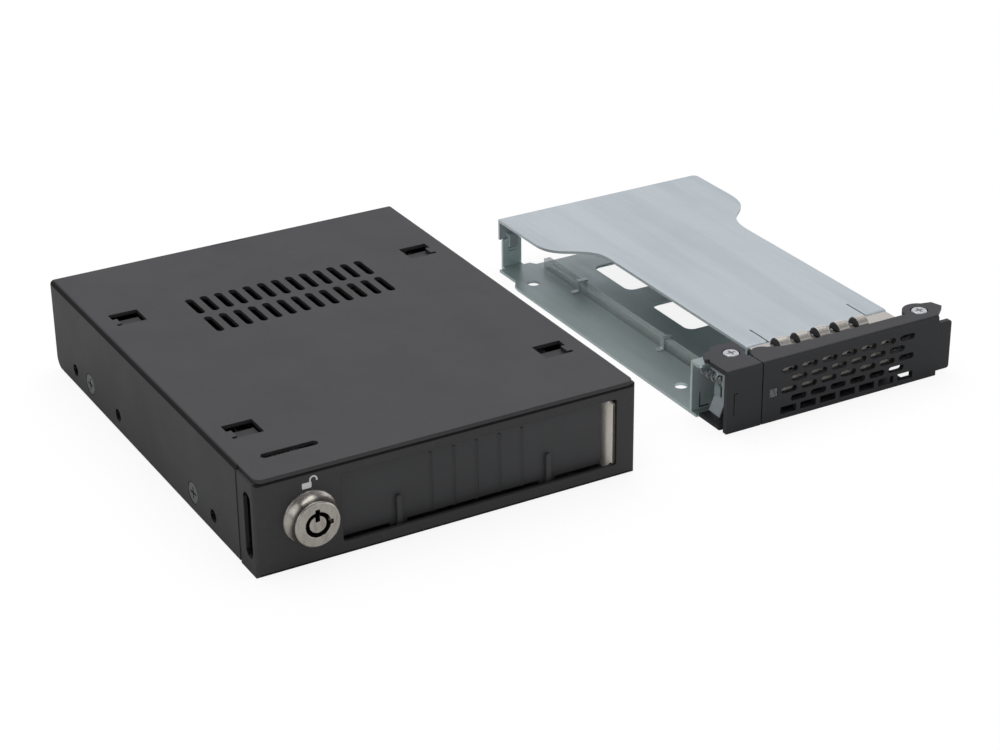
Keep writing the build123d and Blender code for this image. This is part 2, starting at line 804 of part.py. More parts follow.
def make_tray_base():
    """Bottom sheet with windows, drive holes, rear tabs and the front post."""
    step = corner_step
    notch = corner_step_back
    right = tray_width
    points = [
        (0, carrier_wall_back + 0.6),
        (0, notch - 2.5),
        (0.4, notch),
        (step, notch + 2.5),
        (step, base_back),
        (pipe_middle - 2.6, base_back),
        (pipe_middle - 1.4, inner_back),
        (right - rear_tab_left - rear_tab_width - 4, inner_back),
        (right - rear_tab_left - rear_tab_width - 2, base_back),
        (right - step, base_back),
        (right - step, notch + 2.5),
        (right, notch),
        (right, carrier_wall_back + 0.6),
    ]
    base = flat_piece(points, 0, plate)
    tab_back = cover_back - plate - 0.1
    for left in (rear_tab_left, tray_width - rear_tab_left - rear_tab_width):
        middle = left + rear_tab_width / 2
        base += block(left, left + rear_tab_width, base_back - 0.01, tab_back, 0, plate)
        tab = block(left, left + rear_tab_width, tab_back - plate, tab_back, 0, rear_tab_height)
        top = tab.edges().filter_by(Axis.Y).group_by(Axis.Z)[-1]
        base += fillet(top, 1.2)
        arrow = [(middle - 1.5, 5.4), (middle + 1.5, 5.4), (middle, 1.9)]
        mark = extrude(Plane.XZ * make_face(Polyline(*arrow, close=True)), -0.25)
        base += Pos(0, tab_back - plate - 0.25, 0) * mark
        base += block(middle - 1.5, middle + 1.5, tab_back - plate - 0.25, tab_back - plate, 5.8, 6.4)
    low_slot = block(2.4, 2.8, post_back - 1, post_back + 2, plate + 0.8, plate + 4.8)
    low_slot += block(2.4, 5.4, post_back - 1, post_back + 2, plate + 0.4, plate + 0.8)
    post = block(0, post_width, post_back, post_back + plate, 0, post_height + plate)
    post -= low_slot
    shelf_front = post_back - post_shelf
    shelf = block(0, post_width, shelf_front, post_back + plate, post_height, post_height + plate)
    base += post + fillet(upright_edges(shelf, 0, shelf_front), 1.0)
    for x in drive_hole_columns():
        for y in (drive_hole_first, drive_hole_first + drive_length_pitch):
            base -= rod_z(x, y, -1, plate + 1, drive_hole_radius)
    for step_back in (0, 1):
        y0 = window_first + step_back * window_pitch
        window = block(window_left, window_left + window_width, y0, y0 + window_length, -1, plate + 1)
        base -= fillet(window.edges().filter_by(Axis.Z), window_corner)
    return base


def drive_hole_columns():
    return (drive_hole_inset, drive_hole_inset + drive_width_pitch)


def make_tray_cover():
    """Top sheet: wide wings at the rear, a narrow neck, rear hooks and two bent lips."""
    left_wave = wave(wing_left, wing_left_back, neck_left, neck_left_back)
    right_wave = wave(wing_right, wing_right_back, neck_right, neck_right_back)
    edge = Polyline(
        (neck_left, neck_left_back),
        (neck_left, cover_front),
        (neck_right, cover_front),
        (neck_right, neck_right_back),
    )
    rest = Polyline(
        (wing_right, wing_right_back),
        (wing_right, cover_back),
        (wing_left, cover_back),
        (wing_left, wing_left_back),
    )
    flat = make_face(left_wave + edge + right_wave + rest)
    cover = Pos(0, 0, cover_level) * extrude(flat, plate)
    for left in (wing_left, wing_right - rear_tab_width - 0.5):
        hook_low = rear_tab_height - 0.3
        cover += block(left, left + rear_tab_width + 0.5, cover_back - plate, cover_back, hook_low, cover_level + 0.1)
        middle = rear_tab_left + rear_tab_width / 2
        middle = middle if left == wing_left else tray_width - middle
        front = cover_back - 2 * plate - 0.4
        cover += block(middle - 1.4, middle + 1.4, front, cover_back, rear_tab_height, rear_tab_height + 1.6)
        cover += block(
            middle - 1.4, middle + 1.4, front - plate, front + 0.01,
            rear_tab_height - 2.2, rear_tab_height + 1.6,
        )
    top = cover_level + plate
    bend_back = cover_front + lip_bend
    for left in (neck_left, neck_right - lip_width):
        right = left + lip_width
        slit = right if left == neck_left else left - lip_slit
        slit_back = cover_front + lip_slit_length
        cover -= block(slit, slit + lip_slit, cover_front - 1, slit_back, 0, top + 1)
        cover -= block(left - 1, right + 0.01, cover_front - 1, bend_back, 0, top + 1)
        bend = rod_x(left, right, bend_back, top - lip_bend, lip_bend)
        bend -= rod_x(left - 1, right + 1, bend_back, top - lip_bend, lip_bend - plate)
        bend -= block(left - 1, right + 1, cover_front - 1, bend_back + lip_bend + 1, 0, top - lip_bend)
        bend -= block(left - 1, right + 1, bend_back + 0.01, bend_back + lip_bend + 1, 0, top + 1)
        cover += bend
    return cover


def make_light_pipe():
    """Clear bar along the bottom sheet that rises to the lens in the handle."""
    x0 = pipe_middle - pipe_width / 2
    x1 = pipe_middle + pipe_width / 2
    low = carrier_floor + 0.2
    top = plate + pipe_height
    rise = carrier_wall_back - 1.5
    start = front_wall + pipe_end_gap
    high = lens_low + lens_size
    bar = side_piece(
        [
            (start, lens_low),
            (rise - 2.5, lens_low),
            (rise + 0.5, plate + pipe_height - 1.2),
            (carrier_wall_back + 0.7, low),
            (carrier_wall_back + 1.4, plate),
            (pipe_back, plate),
            (pipe_back, top),
            (rise + 3.5, top),
            (rise, high),
            (start, high),
        ],
        x0,
        x1,
    )
    return bar


def make_pipe_clips():
    """Two bright clips that straddle the pipe and stand on the bottom sheet."""
    clips = []
    reach = pipe_width / 2 + 0.1
    for place in clip_places:
        y0 = place - clip_width / 2
        y1 = place + clip_width / 2
        high = plate + pipe_height + 0.1
        clip = block(pipe_middle - reach - 0.4, pipe_middle + reach + 0.4, y0, y1, plate, high + 0.4)
        clip -= block(pipe_middle - reach, pipe_middle + reach, y0 - 1, y1 + 1, 0, high)
        clip += block(pipe_middle - reach - 2.2, pipe_middle - reach - 0.3, y0, y1, plate, plate + 0.4)
        clips.append(clip)
    return Compound(children=clips)


def make_carrier():
    """Black plastic frame behind the handle: floor, rear wall and both pivot posts."""
    back = carrier_wall_back
    floor_right = handle_pivot_x - handle_boss_radius - 2.5
    floor = [
        (front_left, carrier_front + 1.4),
        (seam_left, carrier_front),
        (floor_right, carrier_front),
        (floor_right, back),
        (front_left, back),
    ]
    carrier = flat_piece(floor, 0, carrier_floor)
    carrier += block(front_left, tray_width - 0.6, back - 0.01, back + 0.6, 0, carrier_floor)
    carrier += block(floor_right - 0.01, tray_width - 0.6, back - 1.0, back, 0, carrier_floor)
    carrier += block(
        pipe_middle + 3, handle_pivot_x - 5, back - carrier_wall, back,
        carrier_floor - 0.01, strip_top - finger_sheet,
    )
    post_top = flange_low - 0.1
    carrier += rod_z(handle_pivot_x, handle_pivot_y, 1.6, post_top, pivot_post_radius)
    left = handle_pivot_x - 2.0
    right = handle_pivot_x + 2.0
    rib_top = front_height - pivot_rib_drop
    carrier += block(left, right, handle_pivot_y, back, 1.6, rib_top)
    carrier += block(left, right, back - carrier_wall, back, 0, rib_top)
    carrier += rod_z(latch_pivot_x, latch_pivot_y, 0, post_top, pivot_post_radius)
    for x, y in pivots():
        carrier -= rod_z(x, y, post_top - 8, post_top + 1, pivot_screw_radius + 0.02)
    return carrier


def pivots():
    return ((handle_pivot_x, handle_pivot_y), (latch_pivot_x, latch_pivot_y))


def make_fingers():
    """Grounding strip of spring sheet: a holed front plate, a flat top and lanced arches."""
    low = strip_top - finger_sheet
    foot = strip_top - strip_drop
    inner = strip_front + finger_sheet
    strip = block(strip_left, strip_right, strip_front, inner, foot, strip_top)
    strip += block(strip_left, strip_right, strip_front, strip_back, low, strip_top)
    columns = int((strip_right - strip_left) / strip_hole_pitch)
    for row in range(strip_hole_rows):
        z = foot + strip_hole_pitch * (row + 0.8)
        for column in range(columns):
            x = strip_left + strip_hole_pitch * (column + 0.5)
            strip -= rod_y(x, strip_front - 1, inner + 1, z, strip_hole_radius)
    middle = (finger_front + finger_back) / 2
    peak = front_height - 0.1
    outer = ThreePointArc(
        (finger_front, low + 0.01), (middle, peak), (finger_back, low + 0.01)
    )
    inside = ThreePointArc(
        (finger_back - finger_sheet, low + 0.01),
        (middle, peak - finger_sheet),
        (finger_front + finger_sheet, low + 0.01),
    )
    profile = outer + Line(outer @ 1, inside @ 0) + inside + Line(inside @ 1, outer @ 0)
    arch = Plane.YZ * make_face(profile)
    for step in range(finger_count):
        x = finger_first + step * finger_pitch
        strip -= block(
            x - finger_sheet, x + finger_width + finger_sheet,
            finger_front + finger_sheet, finger_back - finger_sheet, low - 1, strip_top + 1,
        )
        strip += Pos(x, 0, 0) * extrude(arch, finger_width)
    return strip


def perforation():
    """Places of the handle's slots: staggered rows, the lowest one wide and square."""
    for row in range(slot_rows):
        shift = row % 2
        for column in range(slot_columns - shift):
            x = slot_first + (column + shift / 2) * slot_pitch
            yield row, x, slot_row_low + row * slot_row_pitch


def make_handle():
    """Lever with a perforated face, a top flange, a round boss and an end tab."""
    left = seam_left + seam_width
    handle = block(left, front_right, 0, front_wall, front_lift, front_height)
    top_edge = handle.edges().filter_by(Axis.X).group_by(Axis.Z)[-1].group_by(Axis.Y)[0]
    handle = fillet(top_edge, front_fold)
    tab = block(front_right - 1, tray_width, 0.2, front_wall, lever_tab_low, lever_tab_high)
    handle += fillet(tab.edges().filter_by(Axis.Y).group_by(Axis.X)[-1], 0.8)
    flange = flat_piece(
        [
            (left, front_fold),
            (left, top_depth - 0.2),
            (left + 0.3 + lobe_radius, top_depth + 0.1 + lobe_radius),
            (left + 0.3 + 2.6 * lobe_radius, top_depth + 0.3 * lobe_radius),
            (left + 4 * lobe_radius, top_depth),
            (handle_pivot_x, top_depth),
            (front_right, front_fold),
        ],
        flange_low,
        front_height,
    )
    lobe_x = left + 0.3 + lobe_radius
    flange += rod_z(lobe_x, top_depth + 0.1, flange_low, front_height, lobe_radius)
    flange += rod_z(handle_pivot_x, handle_pivot_y, flange_low, front_height, handle_boss_radius)
    hook = [
        (handle_pivot_x + 2, handle_pivot_y + 3.6),
        (handle_pivot_x + 6.0, handle_pivot_y + 2.6),
        (tray_width, handle_pivot_y - 0.6),
        (tray_width - 2.0, handle_pivot_y - 2.4),
        (front_right, front_fold),
        (handle_pivot_x, front_fold),
    ]
    flange += flat_piece(hook, flange_low, front_height)
    handle += flange
    handle -= rod_z(
        handle_pivot_x, handle_pivot_y, flange_low - 1, front_height + 1, pivot_screw_radius + running_gap
    )
    sink = front_height - pivot_head_height
    handle -= rod_z(handle_pivot_x, handle_pivot_y, sink, front_height + 1, pivot_head_radius + 0.25)
    for row, x, z in perforation():
        if row:
            handle -= slot_front(slot_length, slot_height, front_wall + 2, x, -1, z)
        else:
            half = slot_length / 2
            handle -= block(x - half, x + half, -1, front_wall + 1, z - 1.0, z + 1.0)
    handle -= block(lens_left, lens_left + lens_size, -1, front_wall + 1, lens_low, lens_low + lens_size)
    return handle


def make_lens():
    gap = running_gap
    return block(
        lens_left + gap, lens_left + lens_size - gap, 0.2, front_wall,
        lens_low + gap, lens_low + lens_size - gap,
    )


def make_pivot_screw(x, y):
    """Cross-slotted pivot screw, its head sunk in the black flange."""
    sink = front_height - pivot_head_height + running_gap
    top = front_height + 0.1
    screw = rod_z(x, y, sink, top, pivot_head_radius)
    screw = chamfer(screw.edges().group_by(Axis.Z)[-1], 0.2)
    screw += rod_z(x, y, flange_low - 7, sink + 0.01, pivot_screw_radius)
    screw -= block(x - 1.2, x + 1.2, y - 0.28, y + 0.28, top - 0.5, top + 1)
    screw -= block(x - 0.28, x + 0.28, y - 1.2, y + 1.2, top - 0.5, top + 1)
    return screw


def make_latch():
    """Short black piece left of the handle, with its flange round the left screw."""
    latch = block(front_left, seam_left, 0, front_wall, front_lift, front_height)
    top_edge = latch.edges().filter_by(Axis.X).group_by(Axis.Z)[-1].group_by(Axis.Y)[0]
    latch = fillet(top_edge, front_fold)
    flange = [
        (front_left, front_fold),
        (front_left - 0.3, latch_pivot_y - 1.6),
        (front_left + 0.3, latch_pivot_y - 0.4),
        (front_left - 0.7, latch_pivot_y + 0.1),
        (front_left + 0.5, latch_pivot_y + 2.8),
        (front_left + 3.6, latch_pivot_y + 4.0),
        (front_left + 4.6, latch_pivot_y + 5.8),
        (seam_left + 0.9, latch_pivot_y + 5.1),
        (seam_left + 0.8, latch_pivot_y + 2.4),
        (seam_left - 0.6, latch_pivot_y - 1.2),
        (seam_left - 0.8, top_depth + 0.1),
        (seam_left, top_depth - 0.9),
        (seam_left, front_fold),
    ]
    latch += flat_piece(flange, flange_low, front_height)
    latch += block(seam_left - 1.2, seam_left, front_wall - 0.01, 5.0, 8.0, flange_low + 0.01)
    latch -= rod_z(
        latch_pivot_x, latch_pivot_y, flange_low - 1, front_height + 1, pivot_screw_radius + running_gap
    )
    sink = front_height - pivot_head_height
    latch -= rod_z(latch_pivot_x, latch_pivot_y, sink, front_height + 1, pivot_head_radius + 0.25)
    latch -= block(front_left + 2.0, front_left + 2.3, -1, 0.25, 5.0, 11.2)
    latch -= block(front_left + 2.0, front_left + 3.2, -1, 0.25, 10.9, 11.2)
    return latch


def make_catch():
    """Bright sheet in the latch's open end: a tilted tooth, a strip and a bent lug on top."""
    middle = front_height / 2
    tooth = [
        (front_wall, middle + 0.5),
        (front_wall + 4.2, middle + 0.1),
        (front_wall + 6.5, middle - 5.0),
        (front_wall + 1.8, middle - 5.2),
        (front_wall, middle - 1.0),
    ]
    right = front_left + catch_sheet
    catch = side_piece(tooth, front_left, right)
    top = flange_low - 0.2
    strip = block(front_left, right, front_wall, front_wall + 0.9, middle - 0.6, top)
    lug = block(front_left, right + 2.4, front_wall, front_wall + 6.6, top - catch_sheet, top)
    return catch + strip + fillet(lug.edges().filter_by(Axis.Z).group_by(Axis.Y)[-1], 0.9)


def make_latch_spring():
    """Compression coil between the latch's wall and the front post."""
    front = front_wall + latch_swing_room
    length = post_back - 0.1 - front
    pitch = length / latch_coil_turns
    coil = Helix(pitch=pitch, height=length - latch_wire, radius=latch_coil_radius)
    section = Plane(origin=coil @ 0, z_dir=coil % 0) * Circle(latch_wire / 2)
    wound = Rot(-90, 0, 0) * sweep(section, coil)
    return Pos(latch_coil_x, front + latch_wire / 2, front_height - latch_coil_drop) * wound


cage_pieces = {
    "cage_cover": make_cover(),
    "cage_base": make_base(),
    "front_bezel": make_bezel(),
    "left_screw_front": make_side_screw(-1, screw_first),
    "left_screw_rear": make_side_screw(-1, screw_first + screw_step),
    "right_screw_front": make_side_screw(1, screw_first),
    "right_screw_rear": make_side_screw(1, screw_first + screw_step),
    "left_rail": make_rail(-1),
    "right_rail": make_rail(1),
    "dust_door": make_door(),
    "door_pin": make_door_pin(),
    "door_spring": make_door_spring(),
    "lock_barrel": make_lock_barrel(),
    "lock_nut": make_lock_nut(),
    "lock_rotor": make_lock_rotor(),
    "lock_cam": make_lock_cam(),
    "cam_screw": make_cam_screw(),
    "backplane_board": make_board(),
    "board_screws": make_board_screws(),
    "drive_connector": make_drive_connector(),
    "board_light": make_board_light(),
    "rear_data_connector": make_rear_port(rear_ports()[0]),
    "rear_power_connector": make_rear_port(rear_ports()[1]),
}
tray_pieces = {
    "tray_base": make_tray_base(),
    "tray_cover": make_tray_cover(),
    "light_pipe": make_light_pipe(),
    "pipe_clips": make_pipe_clips(),
    "front_carrier": make_carrier(),
    "grounding_fingers": make_fingers(),
    "handle": make_handle(),
    "handle_screw": make_pivot_screw(handle_pivot_x, handle_pivot_y),
    "status_lens": make_lens(),
    "latch": make_latch(),
    "latch_screw": make_pivot_screw(latch_pivot_x, latch_pivot_y),
    "catch_plate": make_catch(),
    "latch_spring": make_latch_spring(),
}

to_origin = Pos(0, -cage_depth / 2, 0)
for name, piece in cage_pieces.items():
    export_step(to_origin * piece, f"parts/{name}.step")
for name, piece in tray_pieces.items():
    export_step(to_origin * Pos(tray_x, tray_back, 0) * piece, f"parts/{name}.step")
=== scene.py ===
import math

import bmesh
import bpy
from bpy.props import FloatProperty, FloatVectorProperty, IntProperty, PointerProperty
from mathutils import Matrix, Vector


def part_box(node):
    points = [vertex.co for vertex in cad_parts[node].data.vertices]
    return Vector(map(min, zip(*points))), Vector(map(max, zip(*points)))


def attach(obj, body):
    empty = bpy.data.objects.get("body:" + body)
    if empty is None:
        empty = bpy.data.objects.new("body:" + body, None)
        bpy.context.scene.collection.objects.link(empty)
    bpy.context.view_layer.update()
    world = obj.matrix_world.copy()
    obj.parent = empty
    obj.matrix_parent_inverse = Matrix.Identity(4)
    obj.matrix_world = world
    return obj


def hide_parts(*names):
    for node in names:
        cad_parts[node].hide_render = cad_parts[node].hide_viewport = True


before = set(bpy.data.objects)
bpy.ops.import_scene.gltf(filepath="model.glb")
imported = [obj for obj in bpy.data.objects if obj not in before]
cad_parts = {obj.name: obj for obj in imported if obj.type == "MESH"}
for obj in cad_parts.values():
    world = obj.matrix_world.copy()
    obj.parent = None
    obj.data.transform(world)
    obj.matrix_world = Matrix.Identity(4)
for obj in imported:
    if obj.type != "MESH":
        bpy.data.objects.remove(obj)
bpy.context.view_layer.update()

bl_info = {
    "name": "Drive Rack Finish",
    "version": (1, 0, 0),
    "blender": (4, 5, 0),
    "location": "3D View > Sidebar > Drive Rack",
    "description": "Finishes a drive-bay cage and the sheet-metal tray beside it",
    "category": "Object",
}

MM = 0.001


# Sizes and colours that a user would change

class CageFinish(bpy.types.PropertyGroup):
    coat_colour: FloatVectorProperty(
        name="Coat colour", description="Colour of the cage's powder coat",
        subtype="COLOR", size=3, min=0, max=1, default=(0.0320, 0.0318, 0.0340),
    )
    coat_roughness: FloatProperty(
        name="Coat roughness", description="Sheen of the powder coat",
        subtype="FACTOR", min=0, max=1, default=0.50,
    )
    coat_speck: FloatProperty(
        name="Coat texture", description="Width of one bump of the powder coat",
        unit="LENGTH", min=0.0001, max=0.002, default=0.00032, precision=5,
    )
    door_colour: FloatVectorProperty(
        name="Door colour", description="Colour of the moulded dust door",
        subtype="COLOR", size=3, min=0, max=1, default=(0.0400, 0.0410, 0.0430),
    )
    rail_colour: FloatVectorProperty(
        name="Rail colour", description="Colour of the zinc-plated rails",
        subtype="COLOR", size=3, min=0, max=1, default=(0.70, 0.66, 0.60),
    )
    edge_radius: FloatProperty(
        name="Edge radius", description="Rounding that the coat gives to sheet edges",
        unit="LENGTH", min=0, max=0.002, default=0.00022, precision=5,
    )
    sign_colour: FloatVectorProperty(
        name="Sign colour", description="Colour of the printed padlock sign",
        subtype="COLOR", size=3, min=0, max=1, default=(0.60, 0.61, 0.60),
    )


class LockFinish(bpy.types.PropertyGroup):
    plating: FloatVectorProperty(
        name="Plating", description="Colour of the lock's nickel plating",
        subtype="COLOR", size=3, min=0, max=1, default=(0.56, 0.53, 0.48),
    )
    roughness: FloatProperty(
        name="Roughness", description="Gloss of the turned faces",
        subtype="FACTOR", min=0, max=1, default=0.24,
    )


class TrayFinish(bpy.types.PropertyGroup):
    zinc: FloatVectorProperty(
        name="Zinc", description="Colour of the tray's zinc-plated sheet",
        subtype="COLOR", size=3, min=0, max=1, default=(0.59, 0.652, 0.674),
    )
    zinc_roughness: FloatProperty(
        name="Zinc roughness", description="Sheen of the zinc-plated sheet",
        subtype="FACTOR", min=0, max=1, default=0.36,
    )
    handle_colour: FloatVectorProperty(
        name="Handle colour", description="Colour of the moulded handle and latch",
        subtype="COLOR", size=3, min=0, max=1, default=(0.0170, 0.0180, 0.0200),
    )
    base_zinc: FloatVectorProperty(
        name="Base zinc", description="Colour of the duller sheet under the cover",
        subtype="COLOR", size=3, min=0, max=1, default=(0.365, 0.43, 0.425),
    )
    finger_colour: FloatVectorProperty(
        name="Finger colour", description="Colour of the grounding fingers",
        subtype="COLOR", size=3, min=0, max=1, default=(0.66, 0.63, 0.57),
    )


class CoverShape(bpy.types.PropertyGroup):
    left_wing: FloatProperty(
        name="Left wing", description="Length of the straight edge behind the left curve",
        unit="LENGTH", min=0.005, max=0.04, default=0.0205, precision=4,
    )
    right_wing: FloatProperty(
        name="Right wing", description="Length of the straight edge behind the right curve",
        unit="LENGTH", min=0.005, max=0.04, default=0.0179, precision=4,
    )
    left_curve: FloatProperty(
        name="Left curve", description="Length of the S-shaped edge at the left",
        unit="LENGTH", min=0.005, max=0.04, default=0.0210, precision=4,
    )
    right_curve: FloatProperty(
        name="Right curve", description="Length of the S-shaped edge at the right",
        unit="LENGTH", min=0.005, max=0.04, default=0.0255, precision=4,
    )
    left_step: FloatProperty(
        name="Left step", description="How far the neck stands in from the left wing",
        unit="LENGTH", min=0, max=0.03, default=0.0127, precision=4,
    )
    right_step: FloatProperty(
        name="Right step", description="How far the neck stands in from the right wing",
        unit="LENGTH", min=0, max=0.03, default=0.0108, precision=4,
    )
    corner: FloatProperty(
        name="Rear corner", description="Radius of the right rear corner",
        unit="LENGTH", min=0, max=0.01, default=0.0016, precision=4,
    )
    sheet: FloatProperty(
        name="Sheet", description="Thickness of the sheet",
        unit="LENGTH", min=0.0003, max=0.002, default=0.0008, precision=4,
    )
    lip_width: FloatProperty(
        name="Lip width", description="Width of each lip bent down at the front",
        unit="LENGTH", min=0.002, max=0.02, default=0.0065, precision=4,
    )
    lip_bend: FloatProperty(
        name="Lip bend", description="Outer radius of the bent lips",
        unit="LENGTH", min=0.0009, max=0.003, default=0.0014, precision=4,
    )
    lip_drop: FloatProperty(
        name="Lip drop", description="Straight part of a lip under its bend",
        unit="LENGTH", min=0, max=0.003, default=0.0008, precision=4,
    )
    slit_width: FloatProperty(
        name="Slit width", description="Width of the relief cut beside each lip",
        unit="LENGTH", min=0.0001, max=0.002, default=0.0005, precision=4,
    )
    slit_length: FloatProperty(
        name="Slit length", description="Length of the relief cut beside each lip",
        unit="LENGTH", min=0.001, max=0.02, default=0.0086, precision=4,
    )
    curve_points: IntProperty(
        name="Curve points", description="Points along each S-shaped edge", min=4, max=96, default=28,
    )


class StageSettings(bpy.types.PropertyGroup):
    floor_colour: FloatVectorProperty(
        name="Floor", description="Colour of the floor",
        subtype="COLOR", size=3, min=0, max=1, default=(0.92, 0.92, 0.92),
    )
    floor_glow: FloatProperty(
        name="Floor glow", description="Share of the floor's white that needs no light",
        subtype="FACTOR", min=0, max=1, default=0.84,
    )
    floor_gloss: FloatProperty(
        name="Floor in gloss", description="Brightness of the floor in reflections",
        subtype="FACTOR", min=0, max=1, default=0.60,
    )
    dome: FloatProperty(
        name="Dome", description="Strength of the light from all around",
        min=0, max=4, default=0.55,
    )
    ceiling: FloatProperty(
        name="Ceiling", description="Brightness overhead in reflections, next to the white walls",
        min=0, max=1, default=0.26,
    )
    left_wall: FloatProperty(
        name="Left wall", description="Brightness at the left in reflections",
        min=0, max=1, default=0.40,
    )
    mirrored_tint: FloatVectorProperty(
        name="Reflected tint", description="Colour of the studio in reflections",
        subtype="COLOR", size=3, min=0, max=1, default=(0.95, 0.94, 1.0),
    )
    top_lamp: FloatProperty(
        name="Top lamp", description="Power of the large lamp above",
        unit="POWER", min=0, max=200, default=6.0,
    )
    side_lamp: FloatProperty(
        name="Side lamp", description="Power of the lamp at the left",
        unit="POWER", min=0, max=200, default=1.5,
    )
    floor_reach: FloatProperty(
        name="Floor reach", description="Half the width of the floor",
        unit="LENGTH", min=0.5, max=20, default=4.0,
    )
    floor_rings: IntProperty(
        name="Floor corners", description="Corners of the round floor", min=8, max=256, default=96,
    )


# Steps for building shader nodes

def number(tree, operation, first, second=None, clamp=False):
    """A Math node; each value is a number or a socket."""
    node = tree.nodes.new("ShaderNodeMath")
    node.operation = operation
    node.use_clamp = clamp
    for place, value in enumerate((first, second)):
        if value is None:
            continue
        if isinstance(value, (int, float)):
            node.inputs[place].default_value = value
        else:
            tree.links.new(value, node.inputs[place])
    return node.outputs[0]


def times(tree, first, second, clamp=False):
    return number(tree, "MULTIPLY", first, second, clamp)


def total(tree, first, *others):
    """The sum of several values."""
    for other in others:
        first = number(tree, "ADD", first, other)
    return first


def vector_step(tree, operation, first, second=None, output="Vector"):
    """A Vector Math node between sockets."""
    node = tree.nodes.new("ShaderNodeVectorMath")
    node.operation = operation
    tree.links.new(first, node.inputs[0])
    if second is not None:
        tree.links.new(second, node.inputs[1])
    return node.outputs[output]


def axes(tree, vector):
    """The X, Y and Z of a vector."""
    node = tree.nodes.new("ShaderNodeSeparateXYZ")
    tree.links.new(vector, node.inputs[0])
    return tuple(node.outputs)


def joined(tree, **parts):
    """A vector from the given axes; each part is a number or a socket."""
    node = tree.nodes.new("ShaderNodeCombineXYZ")
    for axis, value in parts.items():
        if isinstance(value, float):
            node.inputs[axis].default_value = value
        else:
            tree.links.new(value, node.inputs[axis])
    return node.outputs["Vector"]


def coordinates(tree, kind="Object"):
    return tree.nodes.new("ShaderNodeTexCoord").outputs[kind]


def stretched_noise(tree, places, scale, stretch=(1, 1, 1), detail=3.0, roughness=0.55):
    """Noise in object space, its grain longer along some axes."""
    mapping = tree.nodes.new("ShaderNodeMapping")
    mapping.inputs["Scale"].default_value = stretch
    tree.links.new(places, mapping.inputs["Vector"])
    noise = tree.nodes.new("ShaderNodeTexNoise")
    noise.inputs["Detail"].default_value = detail
    noise.inputs["Roughness"].default_value = roughness
    if isinstance(scale, (int, float)):
        noise.inputs["Scale"].default_value = scale
    else:
        tree.links.new(scale, noise.inputs["Scale"])
    tree.links.new(mapping.outputs["Vector"], noise.inputs["Vector"])
    return noise.outputs["Fac"]


def mixed_colour(tree, share, first, second, blend="MIX"):
    """A colour mix; each value is a colour or a socket. The node's sockets go by number."""
    node = tree.nodes.new("ShaderNodeMix")
    node.data_type = "RGBA"
    node.blend_type = blend
    share_place, first_place, second_place, result_place = 0, 6, 7, 2
    for place, value in ((share_place, share), (first_place, first), (second_place, second)):
        socket = node.inputs[place]
        if isinstance(value, (int, float)):
            socket.default_value = value
        elif isinstance(value, tuple):
            socket.default_value = value if len(value) == 4 else (*value, 1.0)
        else:
            tree.links.new(value, socket)
    return node.outputs[result_place]


def toned(tree, colour, factor):
    """A colour multiplied by another or by a value."""
    return mixed_colour(tree, 1.0, colour, factor, "MULTIPLY")


def spread(tree, value, low, high, to_low=0.0, to_high=1.0):
    """A value between two limits, moved to two other limits."""
    node = tree.nodes.new("ShaderNodeMapRange")
    node.inputs["From Min"].default_value = low
    node.inputs["From Max"].default_value = high
    for label, limit in (("To Min", to_low), ("To Max", to_high)):
        if isinstance(limit, (int, float)):
            node.inputs[label].default_value = limit
        else:
            tree.links.new(limit, node.inputs[label])
    tree.links.new(value, node.inputs["Value"])
    return node.outputs["Result"]


def raised(tree, height, strength, depth, normal=None):
    """The normal of a bump."""
    node = tree.nodes.new("ShaderNodeBump")
    node.inputs["Strength"].default_value = strength
    node.inputs["Distance"].default_value = depth
    tree.links.new(height, node.inputs["Height"])
    if normal is not None:
        tree.links.new(normal, node.inputs["Normal"])
    return node.outputs["Normal"]


def link_all(tree, target, **sources):
    """Links each source to the target's input of that name, with its underscores as spaces."""
    for label, source in sources.items():
        tree.links.new(source, target[label.replace("_", " ")])


# Node groups shared by the finishes

def start_group(name, inputs, outputs):
    """A shader node group with its sockets; gives the group and what goes in and comes out."""
    group = bpy.data.node_groups.new(name, "ShaderNodeTree")
    kinds = {float: "NodeSocketFloat", 4: "NodeSocketColor", 3: "NodeSocketVector"}
    for label, value in inputs.items():
        kind = kinds[float if isinstance(value, float) else len(value)]
        group.interface.new_socket(label, in_out="INPUT", socket_type=kind).default_value = value
    for label, kind in outputs.items():
        group.interface.new_socket(label, in_out="OUTPUT", socket_type=kind)
    inside = group.nodes.new("NodeGroupInput").outputs
    return group, inside, group.nodes.new("NodeGroupOutput").inputs


def start_look(name, **inputs):
    """A group that gives a colour, a roughness and a height; it takes those it is given."""
    inputs = {label.replace("_", " "): value for label, value in inputs.items()}
    outputs = {"Colour": "NodeSocketColor", "Roughness": "NodeSocketFloat", "Height": "NodeSocketFloat"}
    return start_group(name, {**inputs, "Edge": 0.0}, outputs)


def soft_edge_group():
    """Rounded look of an edge, and a mask of where the edge is."""
    group, inside, outside = start_group(
        "Soft Edge", {"Radius": 0.0002}, {"Normal": "NodeSocketVector", "Edge": "NodeSocketFloat"},
    )
    bevel = group.nodes.new("ShaderNodeBevel")
    bevel.samples = 4
    group.links.new(inside["Radius"], bevel.inputs["Radius"])
    surface = group.nodes.new("ShaderNodeNewGeometry").outputs["Normal"]
    likeness = vector_step(group, "DOT_PRODUCT", bevel.outputs["Normal"], surface, "Value")
    edge = spread(group, likeness, low=0.995, high=0.80)
    link_all(group, outside, Normal=bevel.outputs["Normal"], Edge=edge)
    return group


